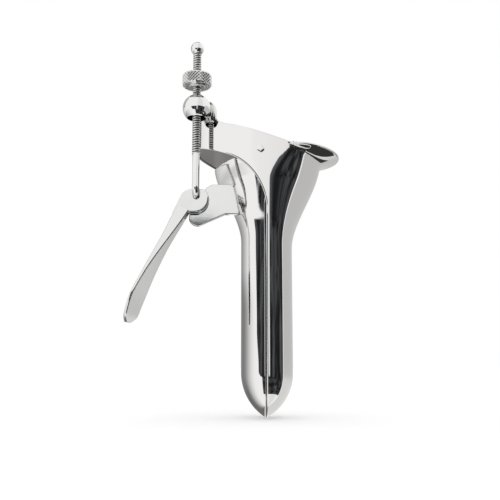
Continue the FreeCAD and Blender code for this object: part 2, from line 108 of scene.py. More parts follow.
# how much the blade grows towards the mouth: in width, on the hoop's side and on the lip's side
blade_spread, mouth_spread = 1.15, 1.1
hoop_flat, hoop_growth, lip_flat, lip_growth = 3.0, 18.8, 7.6, 11.3


def lower_section(z, left):
    """Where the bow starts, its reach, the half width and the fullness of the section at z."""
    height = z + blade_length
    half_width = nose_half_width(height) + blade_spread * rise(z, -46.0, -24.0)
    half_width = half_width + mouth_spread * rise(z, -24.0, 10.0)
    depth = nose_depth(height, blade_depth - lower_seam) + lower_seam
    if left:
        reach = -(depth + hoop_growth * rise(z, -36.0, 0.0))
        return -2.0 - hoop_flat * rise(z, -14.0, 0.0), reach, half_width, 0.0 * z
    centre = lower_seam + 0.9 * rise(height, 0.0, 10.0) + lip_flat * rise(z, -11.0, 3.0)
    return centre, depth + lip_growth * rise(z, -35.0, 0.0), half_width, 0.04 * rise(z, -12.0, -34.0)


def lower_point(w, z, left):
    centre, reach, half_width, fullness = lower_section(z, left)
    x, y = channel(w, lower_seam, centre, reach, half_width, fullness)
    return x, y, z


def circle_through(a, b, c):
    """Centre and radius of the circle through three points of a plane."""
    (ax, ay), (bx, by), (cx, cy) = a, b, c
    aa, bb, cc = ax * ax + ay * ay, bx * bx + by * by, cx * cx + cy * cy
    double = 2.0 * (ax * (by - cy) + bx * (cy - ay) + cx * (ay - by))
    ux = (aa * (by - cy) + bb * (cy - ay) + cc * (ay - by)) / double
    uy = (aa * (cx - bx) + bb * (ax - cx) + cc * (bx - ax)) / double
    return ux, uy, math.hypot(ax - ux, ay - uy)


hoop_centre, hoop_reach = -5.0, 23.2
hoop_end = hoop_centre - hoop_reach
# from the side the rim is one arc, and the hoop's lower edge is an arc and then a straight line
rim_circle = circle_through((hoop_end, 12.5), (1.0, 5.4), (20.7, -2.8))
corner_x, corner_z, hoop_bow, hoop_slope = -13.0, -2.3, 2.8, 6.6 / 17.2


def rim_height(x):
    return rim_circle[1] + np.sqrt(np.maximum(rim_circle[2] ** 2 - (x - rim_circle[0]) ** 2, 0.0))


def hoop_edge(x):
    """Height of the hoop's lower edge, which sweeps up from the seam of the blades."""
    across, up = lower_seam - corner_x, corner_z - split_z
    chord = math.hypot(across, up)
    radius = (chord ** 2 / 4.0 + hoop_bow ** 2) / (2.0 * hoop_bow)
    centre_x = 0.5 * (lower_seam + corner_x) - up / chord * (radius - hoop_bow)
    centre_z = 0.5 * (split_z + corner_z) - across / chord * (radius - hoop_bow)
    arc = centre_z + np.sqrt(np.maximum(radius ** 2 - (x - centre_x) ** 2, 0.0))
    return np.where(x > corner_x, np.maximum(arc, split_z), corner_z - (x - corner_x) * hoop_slope)


lug_turn = math.radians(40.0)
lug_seat = np.array([hoop_centre - hoop_reach * math.cos(lug_turn), -lower_mouth * math.sin(lug_turn)])
lug_out = np.array([-math.cos(lug_turn) / hoop_reach, -math.sin(lug_turn) / lower_mouth])
lug_out /= np.linalg.norm(lug_out)
lug_along = np.array([-lug_out[1], lug_out[0]])
lug_half, lug_flare, lug_top, ball_z = 4.6, 3.4, 20.0, 16.0
lug_foot = lug_half + lug_flare


def hoop_top(x, y):
    """Height of the hoop's rim, with the lug that carries the ball."""
    s = (x - lug_seat[0]) * lug_along[0] + (y - lug_seat[1]) * lug_along[1]
    waist = rim_height(lug_seat[0]) + lug_flare
    top = rim_height(x)
    for side in (-1.0, 1.0):
        foot_z = float(rim_height(max(lug_seat[0] + lug_along[0] * side * lug_foot, hoop_end)))
        # the flank's arc passes a third of the way from its chord to its corner
        middle = (0.325 * (lug_foot + lug_half) + 0.35 * lug_half, 0.325 * (foot_z + waist) + 0.35 * foot_z)
        cx, cz, radius = circle_through((lug_foot, foot_z), middle, (lug_half, waist))
        flare = cz - np.sqrt(np.maximum(radius ** 2 - (s * side - cx) ** 2, 0.0))
        on_side = (s * side > lug_half) & (s * side < lug_foot) & (y < 0.0)
        top = np.where(on_side, np.maximum(top, flare), top)
    head = lug_top - lug_half + np.sqrt(np.maximum(lug_half ** 2 - s ** 2, 0.0))
    return np.where((np.abs(s) <= lug_half) & (y < 0.0), head, top)


mouth_flat, mouth_bow = 7.1, 13.6
lip_wide, lip_high, lip_turn = 7.4, 3.9, 88.0


def lip_of(w):
    """Width and rise of the lip at a column of the right side."""
    x, y, _ = lower_point(w, np.full_like(w, -0.5), False)
    turn = np.degrees(np.arctan2(np.abs(y) / lower_mouth, np.maximum(x - mouth_flat, 0.0) / mouth_bow))
    share = np.where(x <= mouth_flat, 1.0, np.clip(turn / lip_turn, 0.0, 1.0))
    width = lip_wide * np.maximum(1.0 - share ** 2, 0.0)
    return width, lip_high * np.maximum(np.cos(0.5 * np.pi * share), 0.0) ** 1.2


def steps_of(line):
    return np.linalg.norm(np.diff(line, axis=0), axis=1)


def spread(line, lengths):
    """Points at the given lengths along a polyline."""
    run = np.concatenate([[0.0], np.cumsum(steps_of(line))])
    return np.stack([np.interp(lengths, run, line[:, k]) for k in range(3)], axis=1)


def row_lengths(total, low_stretch, high_stretch, rows):
    """Lengths for the rows of a column: the rounded edge at both ends and an even grade between."""
    low = edge_rows * sheet_edge * low_stretch
    high = total - edge_rows[::-1] * sheet_edge * high_stretch
    s = np.linspace(0.0, 1.0, rows + 2)[1:-1]
    s = 0.75 * s + 0.25 * (0.5 - 0.5 * np.cos(np.pi * s))
    return np.concatenate([low, low[-1] + (high[0] - low[-1]) * s, high])


def slope_along(points, axis, closed=False):
    """Tangents along one axis of a grid of points, exact to second order for uneven spacing."""
    p = np.moveaxis(points, axis, 0)
    if closed:
        p = np.concatenate([p[-1:], p, p[:1]])
    step = np.maximum(np.linalg.norm(np.diff(p, axis=0), axis=2, keepdims=True), 1e-9)
    h1, h2 = step[:-1], step[1:]
    middle = (h1 ** 2 * (p[2:] - p[1:-1]) + h2 ** 2 * (p[1:-1] - p[:-2])) / (h1 * h2 * (h1 + h2))
    if closed:
        t = middle
    else:
        t = np.concatenate([(p[1:2] - p[:1]) / step[:1], middle, (p[-1:] - p[-2:-1]) / step[-1:]])
    return np.moveaxis(t, 0, axis)


def unit(v):
    return v / np.maximum(np.linalg.norm(v, axis=-1, keepdims=True), 1e-12)


def grid_faces(index, closed=False):
    """Faces between the rows of a grid of point numbers, without the corners that coincide."""
    rows, cols = index.shape
    last = cols if closed else cols - 1
    faces = []
    for r in range(rows - 1):
        for c in range(last):
            d = (c + 1) % cols
            quad = [index[r, c], index[r, d], index[r + 1, d], index[r + 1, c]]
            quad = [int(v) for k, v in enumerate(quad) if v != quad[k - 1]]
            if len(quad) > 2:
                faces.append(quad)
    return faces


def edge_distance(points, starts, ends):
    """Distance from each point to the nearest of the segments."""
    nearest = np.empty(len(points))
    run = ends - starts
    length2 = np.maximum((run ** 2).sum(1), 1e-12)
    for at in range(0, len(points), 1000):
        rel = points[at:at + 1000, None] - starts[None]
        t = np.clip((rel * run[None]).sum(2) / length2, 0.0, 1.0)
        nearest[at:at + 1000] = np.linalg.norm(rel - t[:, :, None] * run[None], axis=2).min(1)
    return nearest


def add_object(name, mesh):
    piece = bpy.data.objects.new(name, mesh)
    bpy.context.scene.collection.objects.link(piece)
    return piece


def smooth(mesh, crease=35.0):
    """Smooth shading, with edges sharper than crease kept crisp."""
    mesh.shade_smooth()
    mesh.set_sharp_from_angle(angle=math.radians(crease))


def coat(piece, *steels):
    for steel in steels:
        piece.data.materials.append(steel)


def mesh_object(name, points, faces):
    """A smooth piece from points in millimetres."""
    used = sorted({v for face in faces for v in face})
    place = dict(zip(used, range(len(used))))
    mesh = bpy.data.meshes.new(name)
    metres = (np.asarray(points)[used] * 0.001).tolist()
    mesh.from_pydata(metres, [], [[place[v] for v in face] for face in faces])
    mesh.validate()
    smooth(mesh)
    return add_object(name, mesh)


def thicken(name, points, normals, thickness, faces):
    """Closes a surface into a sheet of the given thickness whose free edges are rounded."""
    edges = set()
    for face in faces:
        for k in range(len(face)):
            edges.add((face[k - 1], face[k]))
    rim = np.array([(a, b) for a, b in edges if (b, a) not in edges])
    radius = np.minimum(sheet_edge, 0.44 * thickness)
    gap = edge_distance(points, points[rim[:, 0]], points[rim[:, 1]])
    inward = np.clip(radius - gap, 0.0, radius)
    dip = (radius - np.sqrt(np.maximum(radius ** 2 - inward ** 2, 0.0)))[:, None]
    outer = points - normals * dip
    inner = points - normals * (thickness[:, None] - dip)
    count = len(points)
    made = [list(f) for f in faces]
    made += [[b, a, a + count, b + count] for a, b in rim]
    skins = len(made)
    made += [[v + count for v in reversed(f)] for f in faces]
    piece = mesh_object(name, np.concatenate([outer, inner]), made)
    for face in piece.data.polygons[skins:]:
        face.material_index = 1
    return piece


def valve_skin(blade, ring, main, nose_way, closed=False):
    """Points, normals and faces of a valve: the blade's rows, and the ring of columns above them,
    of which the main ones carry the blade on."""
    full = np.concatenate([blade, ring[:, main]])
    ring_across = slope_along(ring, 1, closed)
    across = np.concatenate([slope_along(blade, 1), ring_across[:, main]])
    full_normals = unit(np.cross(across, slope_along(full, 0)))
    full_normals[0] = unit(np.array(nose_way))
    ring_normals = unit(np.cross(ring_across, slope_along(ring, 0)))
    points = np.concatenate([full.reshape(-1, 3), ring[:, ~main].reshape(-1, 3)])
    normals = np.concatenate([full_normals.reshape(-1, 3), ring_normals[:, ~main].reshape(-1, 3)])
    index = np.arange(full.shape[0] * full.shape[1]).reshape(full.shape[:2])
    index[0] = index[0, 0]
    ring_index = np.empty(ring.shape[:2], int)
    ring_index[:, main] = index[len(blade):]
    ring_index[:, ~main] = index.size + np.arange(len(ring) * (~main).sum()).reshape(len(ring), -1)
    return points, normals, grid_faces(index[:len(blade) + 1]) + grid_faces(ring_index, closed)


def wall_of(points, depth):
    """The sheet's thickness, which thins out towards the closed tip."""
    return np.minimum(sheet, 0.5 * (nose_depth(points[:, 2] + blade_length, depth) + 0.5))


# columns stand closer together at the seam and on the lug, where the outline turns
fine_w = [0.0, 0.0015, 0.006, 0.0125, 0.0205, 0.031, 0.044, 0.06, 0.079, 0.102, 0.128]
half_w = np.concatenate([fine_w, np.linspace(0.16, 1.0, 26)])
right_w = np.concatenate([half_w, 2.0 - half_w[-2::-1]])
near_x = lower_seam - np.array([0.004, 0.03, 0.11, 0.24, 0.44, 0.7, 1.05, 1.5, 2.05, 2.7, 3.45, 4.3, 5.2, 6.2,
                                7.3, 8.4, 9.6, 10.9, 12.3])
base_w = column_through(near_x, lower_seam, lower_section(np.minimum(hoop_edge(near_x), 0.0), True))
base_w = np.concatenate([base_w, np.linspace(base_w[-1], 1.0, 32)[1:]])
waist_z, column_gap = 13.0, 0.008
table_w = np.linspace(0.2, 1.3, 4000)
table_x, table_y, _ = lower_point(table_w, np.full_like(table_w, waist_z), True)
table_s = (table_x - lug_seat[0]) * lug_along[0] + (table_y - lug_seat[1]) * lug_along[1]
flank_s = lug_half + lug_flare * np.array([0.02, 0.06, 0.12, 0.2, 0.3, 0.42, 0.56, 0.72, 0.86, 1.0])
lug_s = np.concatenate([lug_half * np.sin(np.radians(np.arange(-90, 91, 6))), flank_s])
lug_s = np.unique(np.round(np.concatenate([lug_s, -lug_s]), 5))
lug_w = np.interp(-lug_s, -table_s, table_w)
clear = np.array([np.abs(lug_w - w).min() > column_gap for w in base_w])
beside = (base_w < lug_w.min()) | (base_w > lug_w.max())
near_w = np.concatenate([base_w[clear & beside], lug_w])
left_w = np.unique(np.round(np.concatenate([2.0 - base_w[:-1], near_w]), 6))[::-1]


def lower_at(w, z, left):
    """One point of the lower valve's surface."""
    return np.array([float(v[0]) for v in lower_point(np.array([w]), np.array([z]), left)])


def mouth_column(w, left, wide, up):
    """Line up the wall at column w, from the blade or the hoop's lower edge to the rim or the lip."""
    low = split_z
    if left:
        under, over = split_z, 6.0
        for _ in range(40):
            low = 0.5 * (under + over)
            below = low < float(hoop_edge(lower_at(w, low, True)[0]))
            under, over = (low, over) if below else (under, low)
    foot_z = 5.0
    for _ in range(25):
        x, y = lower_at(w, foot_z, left)[:2]
        foot_z = float(hoop_top(x, y) if left else rim_height(x))
    foot = lower_at(w, foot_z, left)
    # the wall starts to turn outwards a little below the rim
    drop = 0.8 + 0.9 * min(wide / lip_wide, 1.0)
    zs = np.linspace(low, foot_z - drop, 150)
    wall = np.stack(lower_point(np.full_like(zs, w), zs, left), axis=1)
    out = unit(np.array([max(foot[0] - mouth_flat, 0.0) / mouth_bow ** 2, foot[1] / lower_mouth ** 2, 0.0]))
    end = foot + out * wide + np.array([0.0, 0.0, up - 1.05 * (1.0 - math.exp(-wide))])
    # where there is no lip the wall runs straight on, and where the lip is wide it ends almost level
    level = 1.0 - math.exp(-wide / 1.2)
    lift = math.radians(82.0 - 72.0 * level)
    start_way = unit(wall[-1] - wall[-2])
    end_way = start_way * (1.0 - level) + level * (out * math.cos(lift) + np.array([0.0, 0.0, math.sin(lift)]))
    span = np.linalg.norm(end - wall[-1])
    t = np.linspace(0.0, 1.0, 121)[1:, None]
    b1, b2 = wall[-1] + start_way * span * 0.3, end - unit(end_way) * span * 0.5
    lip = wall[-1] * (1 - t) ** 3 + 3 * b1 * t * (1 - t) ** 2 + 3 * b2 * t ** 2 * (1 - t) + end * t ** 3
    return np.concatenate([wall, lip])


def stretch(edge):
    """How much further apart rows stand where an edge runs steeply across the columns."""
    run = np.roll(edge, -1, axis=0) - np.roll(edge, 1, axis=0)
    flat_run = np.maximum(np.linalg.norm(run[:, :2], axis=1), 1e-6)
    return np.minimum(np.linalg.norm(run, axis=1) / flat_run, 5.0)


mouth_columns = [mouth_column(w, False, float(wide), float(up))
                 for w, wide, up in zip(right_w, *lip_of(right_w))]
mouth_columns += [mouth_column(w, True, 0.0, 0.0) for w in left_w]
rights, mouth_rows = len(right_w), 34
low_stretch = stretch(np.array([c[0] for c in mouth_columns]))
top_stretch = stretch(np.array([c[-1] for c in mouth_columns]))
low_stretch[:rights] = low_stretch[rights]
mouth = np.stack([spread(c, row_lengths(steps_of(c).sum(), low_stretch[k], top_stretch[k], mouth_rows))
                  for k, c in enumerate(mouth_columns)], axis=1)
nose_z = blade_half * (1.0 - np.cos(np.radians(np.arange(0.0, 90.0, 2.5)))) - blade_length
blade_z = np.concatenate([nose_z, np.linspace(blade_half - blade_length, split_z, 56)[:-1]])
blade = np.stack([np.stack(lower_point(right_w, np.full_like(right_w, z), False), axis=1) for z in blade_z])
main = np.arange(mouth.shape[1]) < rights
points, normals, faces = valve_skin(blade, mouth, main, (0.5, 0.0, -0.8), closed=True)
lower_valve = thicken("valve_lower", points, normals, wall_of(points, blade_depth - lower_seam), faces)
# the lip's upper side is mirror-polished like the outside, without the inner walls' painted shade
for face in lower_valve.data.polygons:
    x, y, z = face.center * 1000.0
    on_lip = ((x - mouth_flat) / mouth_bow) ** 2 + (y / lower_mouth) ** 2 > 0.96
    if x > mouth_flat and z > -6.0 and on_lip:
        face.material_index = 0


def linear(hex_colour):
    """sRGB hex to the linear values that the shaders take."""
    parts = [int(hex_colour[k:k + 2], 16) / 255.0 for k in (1, 3, 5)]
    return [p / 12.92 if p <= 0.04045 else ((p + 0.055) / 1.055) ** 2.4 for p in parts] + [1.0]


def node(tree, kind, links=None, **settings):
    """Adds a node, sets its properties and inputs, and links the inputs that are given sockets."""
    made = tree.nodes.new(kind)
    for key, value in settings.items():
        if hasattr(made, key):
            setattr(made, key, value)
    for key, value in (links or {}).items():
        socket = made.inputs[key]
        if isinstance(value, bpy.types.NodeSocket):
            tree.links.new(value, socket)
        else:
            socket.default_value = value
    return made


def polished_steel(name, colour, roughness, spread_of_roughness, scratch_height, line_scale=(1.0, 1.0, 1.0),
                   groove=None):
    """Stainless steel: coloured by its own reflectance, with faint buffing lines and uneven gloss.

    groove paints shade into grooves: a dark colour, and the two distances from the screw's axis between which
    the shade fades out."""
    material = bpy.data.materials.new(name)
    material.use_nodes = True
    tree = material.node_tree
    shader = tree.nodes["Principled BSDF"]
    shader.inputs["Base Color"].default_value = linear(colour)
    shader.inputs["Metallic"].default_value = 1.0
    place = node(tree, "ShaderNodeTexCoord")
    lines = node(tree, "ShaderNodeMapping", {"Vector": place.outputs["Object"], "Scale": line_scale})
    cloud = node(tree, "ShaderNodeTexNoise", {"Vector": place.outputs["Object"], "Scale": 180.0,
                                              "Detail": 4.0})
    gloss = node(tree, "ShaderNodeMapRange", {"Value": cloud.outputs["Fac"], "From Min": 0.35, "From Max": 0.7,
                                              "To Min": roughness, "To Max": roughness + spread_of_roughness})
    tree.links.new(gloss.outputs["Result"], shader.inputs["Roughness"])
    scratch = node(tree, "ShaderNodeTexNoise", {"Vector": lines.outputs["Vector"], "Scale": 900.0,
                                                "Detail": 3.0, "Roughness": 0.6})
    bump = node(tree, "ShaderNodeBump", {"Height": scratch.outputs["Fac"], "Distance": scratch_height,
                                         "Strength": 0.5})
    tree.links.new(bump.outputs["Normal"], shader.inputs["Normal"])
    if groove:
        # painted shade: the colour darkens towards the screw's axis, down in the grooves
        groove_shade_colour, deep, shallow = groove
        to_axis = (-rod_x * 0.001, -rod_y * 0.001, 0.0)
        centred = node(tree, "ShaderNodeVectorMath", {0: place.outputs["Object"], 1: to_axis}, operation="ADD")
        level = node(tree, "ShaderNodeVectorMath", {0: centred.outputs[0], 1: (1.0, 1.0, 0.0)},
                     operation="MULTIPLY")
        reach = node(tree, "ShaderNodeVectorMath", {0: level.outputs[0]}, operation="LENGTH")
        share = node(tree, "ShaderNodeMapRange", {"Value": reach.outputs["Value"], "From Min": deep * 0.001,
                                                  "From Max": shallow * 0.001})
        groove_shade_tone = node(tree, "ShaderNodeMix", {"Factor": share.outputs["Result"], 6: linear(groove_shade_colour),
                                            7: linear(colour)}, data_type="RGBA")
        tree.links.new(groove_shade_tone.outputs[2], shader.inputs["Base Color"])
    return material


mirror_steel = polished_steel("mirror_polished_stainless", "#e3e2e1", 0.022, 0.02, 0.000003, (1.0, 1.0, 0.12))
# the inner walls are only buffed, so duller; their darker colour is painted shade, so that the mouth looks
# deep
buffed_shaded_steel = polished_steel("buffed_inner_stainless_painted_shade", "#7c7a78", 0.14, 0.08, 0.000006, (1.0, 1.0, 0.1))
coat(lower_valve, mirror_steel, buffed_shaded_steel)
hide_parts("lower_valve")
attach(lower_valve, "lower")

# Upper valve: the left blade, pressed from the same sheet, with two ears that nest between the
# cheeks of the lower valve and turn on the hinge rivets, and a plain rounded rim.
upper_seam = -0.66
hinge_x, ear_radius, nested_half = -2.5, 5.5, 15.7
ear_reach, ear_foot_rise = hinge_x + ear_radius - upper_seam, 19.0
# beyond the edges, w counts the ears' lengths in these units
ear_unit = 10.0
rim_z, rim_slope, ear_blend = -0.9, 0.17, 0.3


def upper_section(z):
    """As lower_section, for the upper valve."""
    half_width = nose_half_width(z + blade_length) + (nested_half - blade_half) * rise(z, -24.0, -6.0)
    reach = upper_seam - nose_depth(z + blade_length, 9.6 + upper_seam) - 9.6 * rise(z, -32.0, -1.0)
    return upper_seam - 3.84 * rise(z, -10.0, -2.0), reach, half_width, 0.04 - 0.09 * rise(z, -28.0, -11.0)


def upper_point(w, z):
    """As channel, with w below 0 and above 2 running straight on along the ears."""
    centre, reach, half_width, fullness = upper_section(z)
    x, y = channel(np.clip(w, 0.0, 2.0), upper_seam, centre, reach, half_width, fullness)
    beyond = np.maximum(-w, 0.0) + np.maximum(w - 2.0, 0.0)
    x = np.where(beyond > 0.0, upper_seam + ear_unit * beyond, x)
    y = np.where(w < 0.0, -half_width, np.where(w > 2.0, half_width, y))
    return x, y, z


def upper_top(x):
    """Height of the rim, blended into the round tops of the ears."""
    reach = np.abs(x - hinge_x)
    ear = np.sqrt(np.maximum(ear_radius ** 2 - reach ** 2, 0.0)) - 8.0 * np.maximum(reach - ear_radius, 0.0)
    rim = rim_z + rim_slope * np.minimum(x + 8.0, 0.0)
    high = np.maximum(ear, rim)
    return high + ear_blend * np.log(np.exp((ear - high) / ear_blend) + np.exp((rim - high) / ear_blend))


def upper_w(x, z):
    w = column_through(x, upper_seam, upper_section(z))
    return np.where(x > upper_seam, (upper_seam - x) / ear_unit, w)


fine_w = [0.0, 0.0021, 0.0087, 0.0185, 0.03, 0.044, 0.062, 0.085, 0.112, 0.142]
half_w = np.concatenate([fine_w, np.linspace(0.175, 1.0, 25)])
ear_x = hinge_x + ear_radius * np.cos(np.radians(np.arange(0.0, 181.0, 7.5)))
ear_x = np.concatenate([ear_x, [-8.03, -8.1, -8.25, -8.5]])
ear_w = upper_w(ear_x, np.full_like(ear_x, 0.0))
spaced = [w for w in half_w[5:] if np.abs(ear_w - w).min() > 0.009]
half_w = np.concatenate([half_w[:5], spaced, ear_w[ear_w > 0.036]])
ears = ear_w[ear_w < -0.004]
upper_ws = np.unique(np.round(np.concatenate([2.0 - ears, 2.0 - half_w, half_w, ears]), 6))[::-1]
main = (upper_ws >= -1e-9) & (upper_ws <= 2.0 + 1e-9)


def upper_column(w):
    """Line up the wall at column w, from the blade, or from the ear's slanting foot, to the rim."""
    top = 0.0
    for _ in range(25):
        top = float(upper_top(upper_point(np.array([w]), np.array([top]))[0])[0])
    x = float(upper_point(np.array([w]), np.array([top]))[0][0])
    low = split_z if 0.0 <= w <= 2.0 else split_z + max(x - upper_seam, 0.0) / ear_reach * ear_foot_rise
    zs = np.linspace(low, top, 200)
    return np.stack(upper_point(np.full_like(zs, w), zs), axis=1)


def open_stretch(edge):
    """As stretch, for an edge that doesn't close."""
    run = np.gradient(edge, axis=0)
    flat_run = np.maximum(np.linalg.norm(run[:, :2], axis=1), 1e-6)
    return np.clip(np.linalg.norm(run, axis=1) / flat_run, 1.0, 4.5)


columns = [upper_column(w) for w in upper_ws]
low_stretch = open_stretch(np.array([c[0] for c in columns]))
top_stretch = open_stretch(np.array([c[-1] for c in columns]))
low_stretch[main] = 4.5
length = np.array([steps_of(c).sum() for c in columns])
fit = np.minimum(1.0, 0.4 * length / (sheet_edge * np.maximum(low_stretch, top_stretch)))
ring = np.stack([spread(c, row_lengths(length[k], low_stretch[k] * fit[k], top_stretch[k] * fit[k], 26))
                 for k, c in enumerate(columns)], axis=1)
blade = np.stack([np.stack(upper_point(upper_ws[main], np.full(main.sum(), z)), axis=1) for z in blade_z])
points, normals, faces = valve_skin(blade, ring, main, (-0.5, 0.0, -0.8))
upper_valve = thicken("valve_upper", points, normals, wall_of(points, 9.0), faces)
# inside: the same buffed finish, with painted shade
coat(upper_valve, mirror_steel, buffed_shaded_steel)
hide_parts("upper_valve")
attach(upper_valve, "upper")

# Hinge rivets: turned steel pins through cheek and ear, each headed almost flush on the outside
# and with a flat tail inside, so that the valves swing without a gap.
rivet_radius, tail_radius = 1.25, 2.1


def arc_points(a, through, b, steps=12):
    """Points of the arc from a to b through a third point, in a plane."""
    cx, cy, radius = circle_through(a, through, b)
    angles = [math.atan2(p[1] - cy, p[0] - cx) for p in (a, through, b)]
    sweep = (angles[2] - angles[0]) % (2.0 * math.pi)
    if (angles[1] - angles[0]) % (2.0 * math.pi) > sweep:
        sweep -= 2.0 * math.pi
    turns = angles[0] + sweep * np.linspace(0.0, 1.0, steps + 1)
    return [(cx + radius * math.cos(t), cy + radius * math.sin(t)) for t in turns]


def soften(points, radius, steps=5, closed=False):
    """Rounds each corner of a line of points that turns by more than 20 degrees."""
    points = [np.array(p, float) for p in points]
    points = [p for k, p in enumerate(points)
              if (k == 0 and not closed) or np.linalg.norm(p - points[k - 1]) > 1e-6]
    made = [] if closed else [points[0]]
    count = len(points)
    for k in range(count) if closed else range(1, count - 1):
        before, here, after = points[k - 1], points[k], points[(k + 1) % count]
        back, forth = before - here, after - here
        lb, lf = np.linalg.norm(back), np.linalg.norm(forth)
        cosine = float(np.clip(back @ forth / (lb * lf), -1.0, 1.0))
        turn = math.pi - math.acos(cosine)
        if turn < math.radians(20.0):
            made.append(here)
            continue
        size = min(radius, 0.45 * min(lb, lf) / math.tan(turn / 2.0))
        a, b = here + back / lb * size * math.tan(turn / 2.0), here + forth / lf * size * math.tan(turn / 2.0)
        middle = unit(back / lb + forth / lf)
        centre = here + middle * size / math.cos(turn / 2.0)
        through = centre - middle * size
        made += [np.array(p) for p in arc_points(tuple(a), tuple(through), tuple(b), steps)]
    return made if closed else made + [points[-1]]


def lathe(name, profile, centre, axis=(0.0, 0.0, 1.0), sides=96, rounding=0.15):
    """A turned piece: a profile of (radius, height) from bottom to top, spun about an axis."""
    profile = soften(profile, rounding)
    axis = unit(np.array(axis, float))
    side = unit(np.cross(axis, [0.0, 1.0, 0.0] if abs(axis[1]) < 0.9 else [1.0, 0.0, 0.0]))
    other = np.cross(axis, side)
    turns = np.linspace(0.0, 2.0 * math.pi, sides, endpoint=False)
    points = np.array([[np.array(centre) + axis * h + (side * math.cos(t) + other * math.sin(t)) * max(r, 0.0)
                        for t in turns] for r, h in profile])
    index = np.arange(points.shape[0] * sides).reshape(points.shape[0], sides)
    for row, (r, h) in enumerate(profile):
        if r < 1e-6:
            index[row] = index[row, 0]
    return mesh_object(name, points.reshape(-1, 3), grid_faces(index, closed=True))


turned_steel = polished_steel("turned_stainless", "#e2e2e0", 0.05, 0.04, 0.000008, (0.15, 0.15, 2.0))
rivet_places = (("rivet_front", "hinge_rivet_front", -1.0), ("rivet_back", "hinge_rivet_back", 1.0))
for name, node_name, side in rivet_places:
    tail = [(0.0, 13.83), (tail_radius, 13.83), (tail_radius, 14.45), (rivet_radius, 14.45)]
    head = [(rivet_radius, 16.1), (1.5, 16.9), (1.47, 17.08), (1.3, 17.2), (1.05, 17.28), (0.75, 17.32),
            (0.0, 17.33)]
    rivet = lathe(name, tail + head, (hinge_x, 0.0, 0.0), (0.0, side, 0.0), 64, 0.08)
    coat(rivet, turned_steel)
    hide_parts(node_name)
    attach(rivet, "lower")

# Ball on the lug: turned, drilled and flared so that the rod can tilt in it, and riveted
# through the lug with a pin whose head lies inside the hoop.
ball_radius, ball_sunk, throat, flare_mouth, throat_drop = 5.16, 0.35, 2.05, 3.5, 1.6
rod_x = lug_seat[0] + lug_out[0] * (ball_radius - ball_sunk)
rod_y = lug_seat[1] + lug_out[1] * (ball_radius - ball_sunk)
neck_z = math.sqrt(ball_radius ** 2 - throat ** 2)
foot_z = -math.sqrt(ball_radius ** 2 - flare_mouth ** 2)
bore = [(flare_mouth, foot_z), (throat, ball_radius - throat_drop), (throat, neck_z)]
skin_turns = np.linspace(math.atan2(neck_z, throat), math.atan2(foot_z, flare_mouth), 60)
skin = [(ball_radius * math.cos(t), ball_radius * math.sin(t)) for t in skin_turns]
profile = soften(bore + skin[1:-1] + [bore[0]], 0.12)
ball = lathe("ball", profile[::-1], (rod_x, rod_y, ball_z), sides=128)
# the drilled bore is left rough, and its nearly black colour is painted shade in the hole
bore_shade_steel = polished_steel("drilled_stainless_painted_shade", "#2b2928", 0.35, 0.1, 0.00001)
coat(ball, turned_steel, bore_shade_steel)
# faces inside the bore take the painted shade
for face in ball.data.polygons:
    reach = math.hypot(face.center.x * 1000.0 - rod_x, face.center.y * 1000.0 - rod_y)
    up = (face.center.z * 1000.0 - ball_z - foot_z) / (ball_radius - throat_drop - foot_z)
    if reach < flare_mouth - (flare_mouth - throat) * min(max(up, 0.0), 1.0) + 0.06:
        face.material_index = 1
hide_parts("screw_ball")
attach(ball, "lower")
out3 = np.array([lug_out[0], lug_out[1], 0.0])
inside = np.array([lug_seat[0], lug_seat[1], ball_z]) - out3 * (sheet + 0.15)
pin_profile = [(0.0, -0.8), (1.75, -0.8), (2.5, 0.0), (1.5, 0.0), (1.5, 1.9), (0.0, 1.9)]
pin = lathe("ball_pin", pin_profile, inside, out3, 64, 0.12)
coat(pin, turned_steel)
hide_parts("ball_rivet")
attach(pin, "lower")

# Screw rod: 3 mm stainless rod with a rolled thread down to the hoop, then a plain shank whose
# foot is bent back through the slot of the lever. The thread is a rule on the rod's surface.
thread_radius, thread_root, shank_radius, thread_pitch = 1.57, 1.17, 1.33, 0.9
thread_low, thread_high, pin_z, bend_radius, rod_tail = -1.7, 38.6, -16.2, 2.3, -6.1


def geometry_tree(name, inputs):
    """A geometry tree that takes the given inputs, and its input sockets."""
    tree = bpy.data.node_groups.new(name, "GeometryNodeTree")
    for label, value in inputs.items():
        kind = {float: "NodeSocketFloat", int: "NodeSocketInt"}.get(type(value), "NodeSocketMaterial")
        tree.interface.new_socket(label, in_out="INPUT", socket_type=kind)
    tree.interface.new_socket("Geometry", in_out="OUTPUT", socket_type="NodeSocketGeometry")
    return tree, node(tree, "NodeGroupInput").outputs


def maths(tree):
    """A short way to add maths nodes to one tree."""
    def add(operation, *values):
        return node(tree, "ShaderNodeMath", dict(enumerate(values)), operation=operation).outputs[0]
    return add


def end_tree(tree, geometry, finish):
    """Makes the instances real, sets the material and gives the result out."""
    real = node(tree, "GeometryNodeRealizeInstances", {"Geometry": geometry})
    coated = node(tree, "GeometryNodeSetMaterial", {"Geometry": real.outputs[0], "Material": finish})
    node(tree, "NodeGroupOutput", {0: coated.outputs[0]})


def grow(name, tree, inputs, place):
    """Runs a geometry tree once and keeps its result as a plain mesh at the given place."""
    holder = add_object(name + "_seed", bpy.data.meshes.new(name + "_seed"))
    modifier = holder.modifiers.new("Grow", "NODES")
    modifier.node_group = tree
    for socket in tree.interface.items_tree:
        if socket.in_out == "INPUT":
            modifier[socket.identifier] = inputs[socket.name]
    bpy.context.view_layer.update()
    graph = bpy.context.evaluated_depsgraph_get()
    mesh = bpy.data.meshes.new_from_object(holder.evaluated_get(graph))
    mesh.name = name
    mesh.transform(Matrix.Translation(Vector(place) * 0.001))
    bpy.data.objects.remove(holder)
    return add_object(name, mesh)
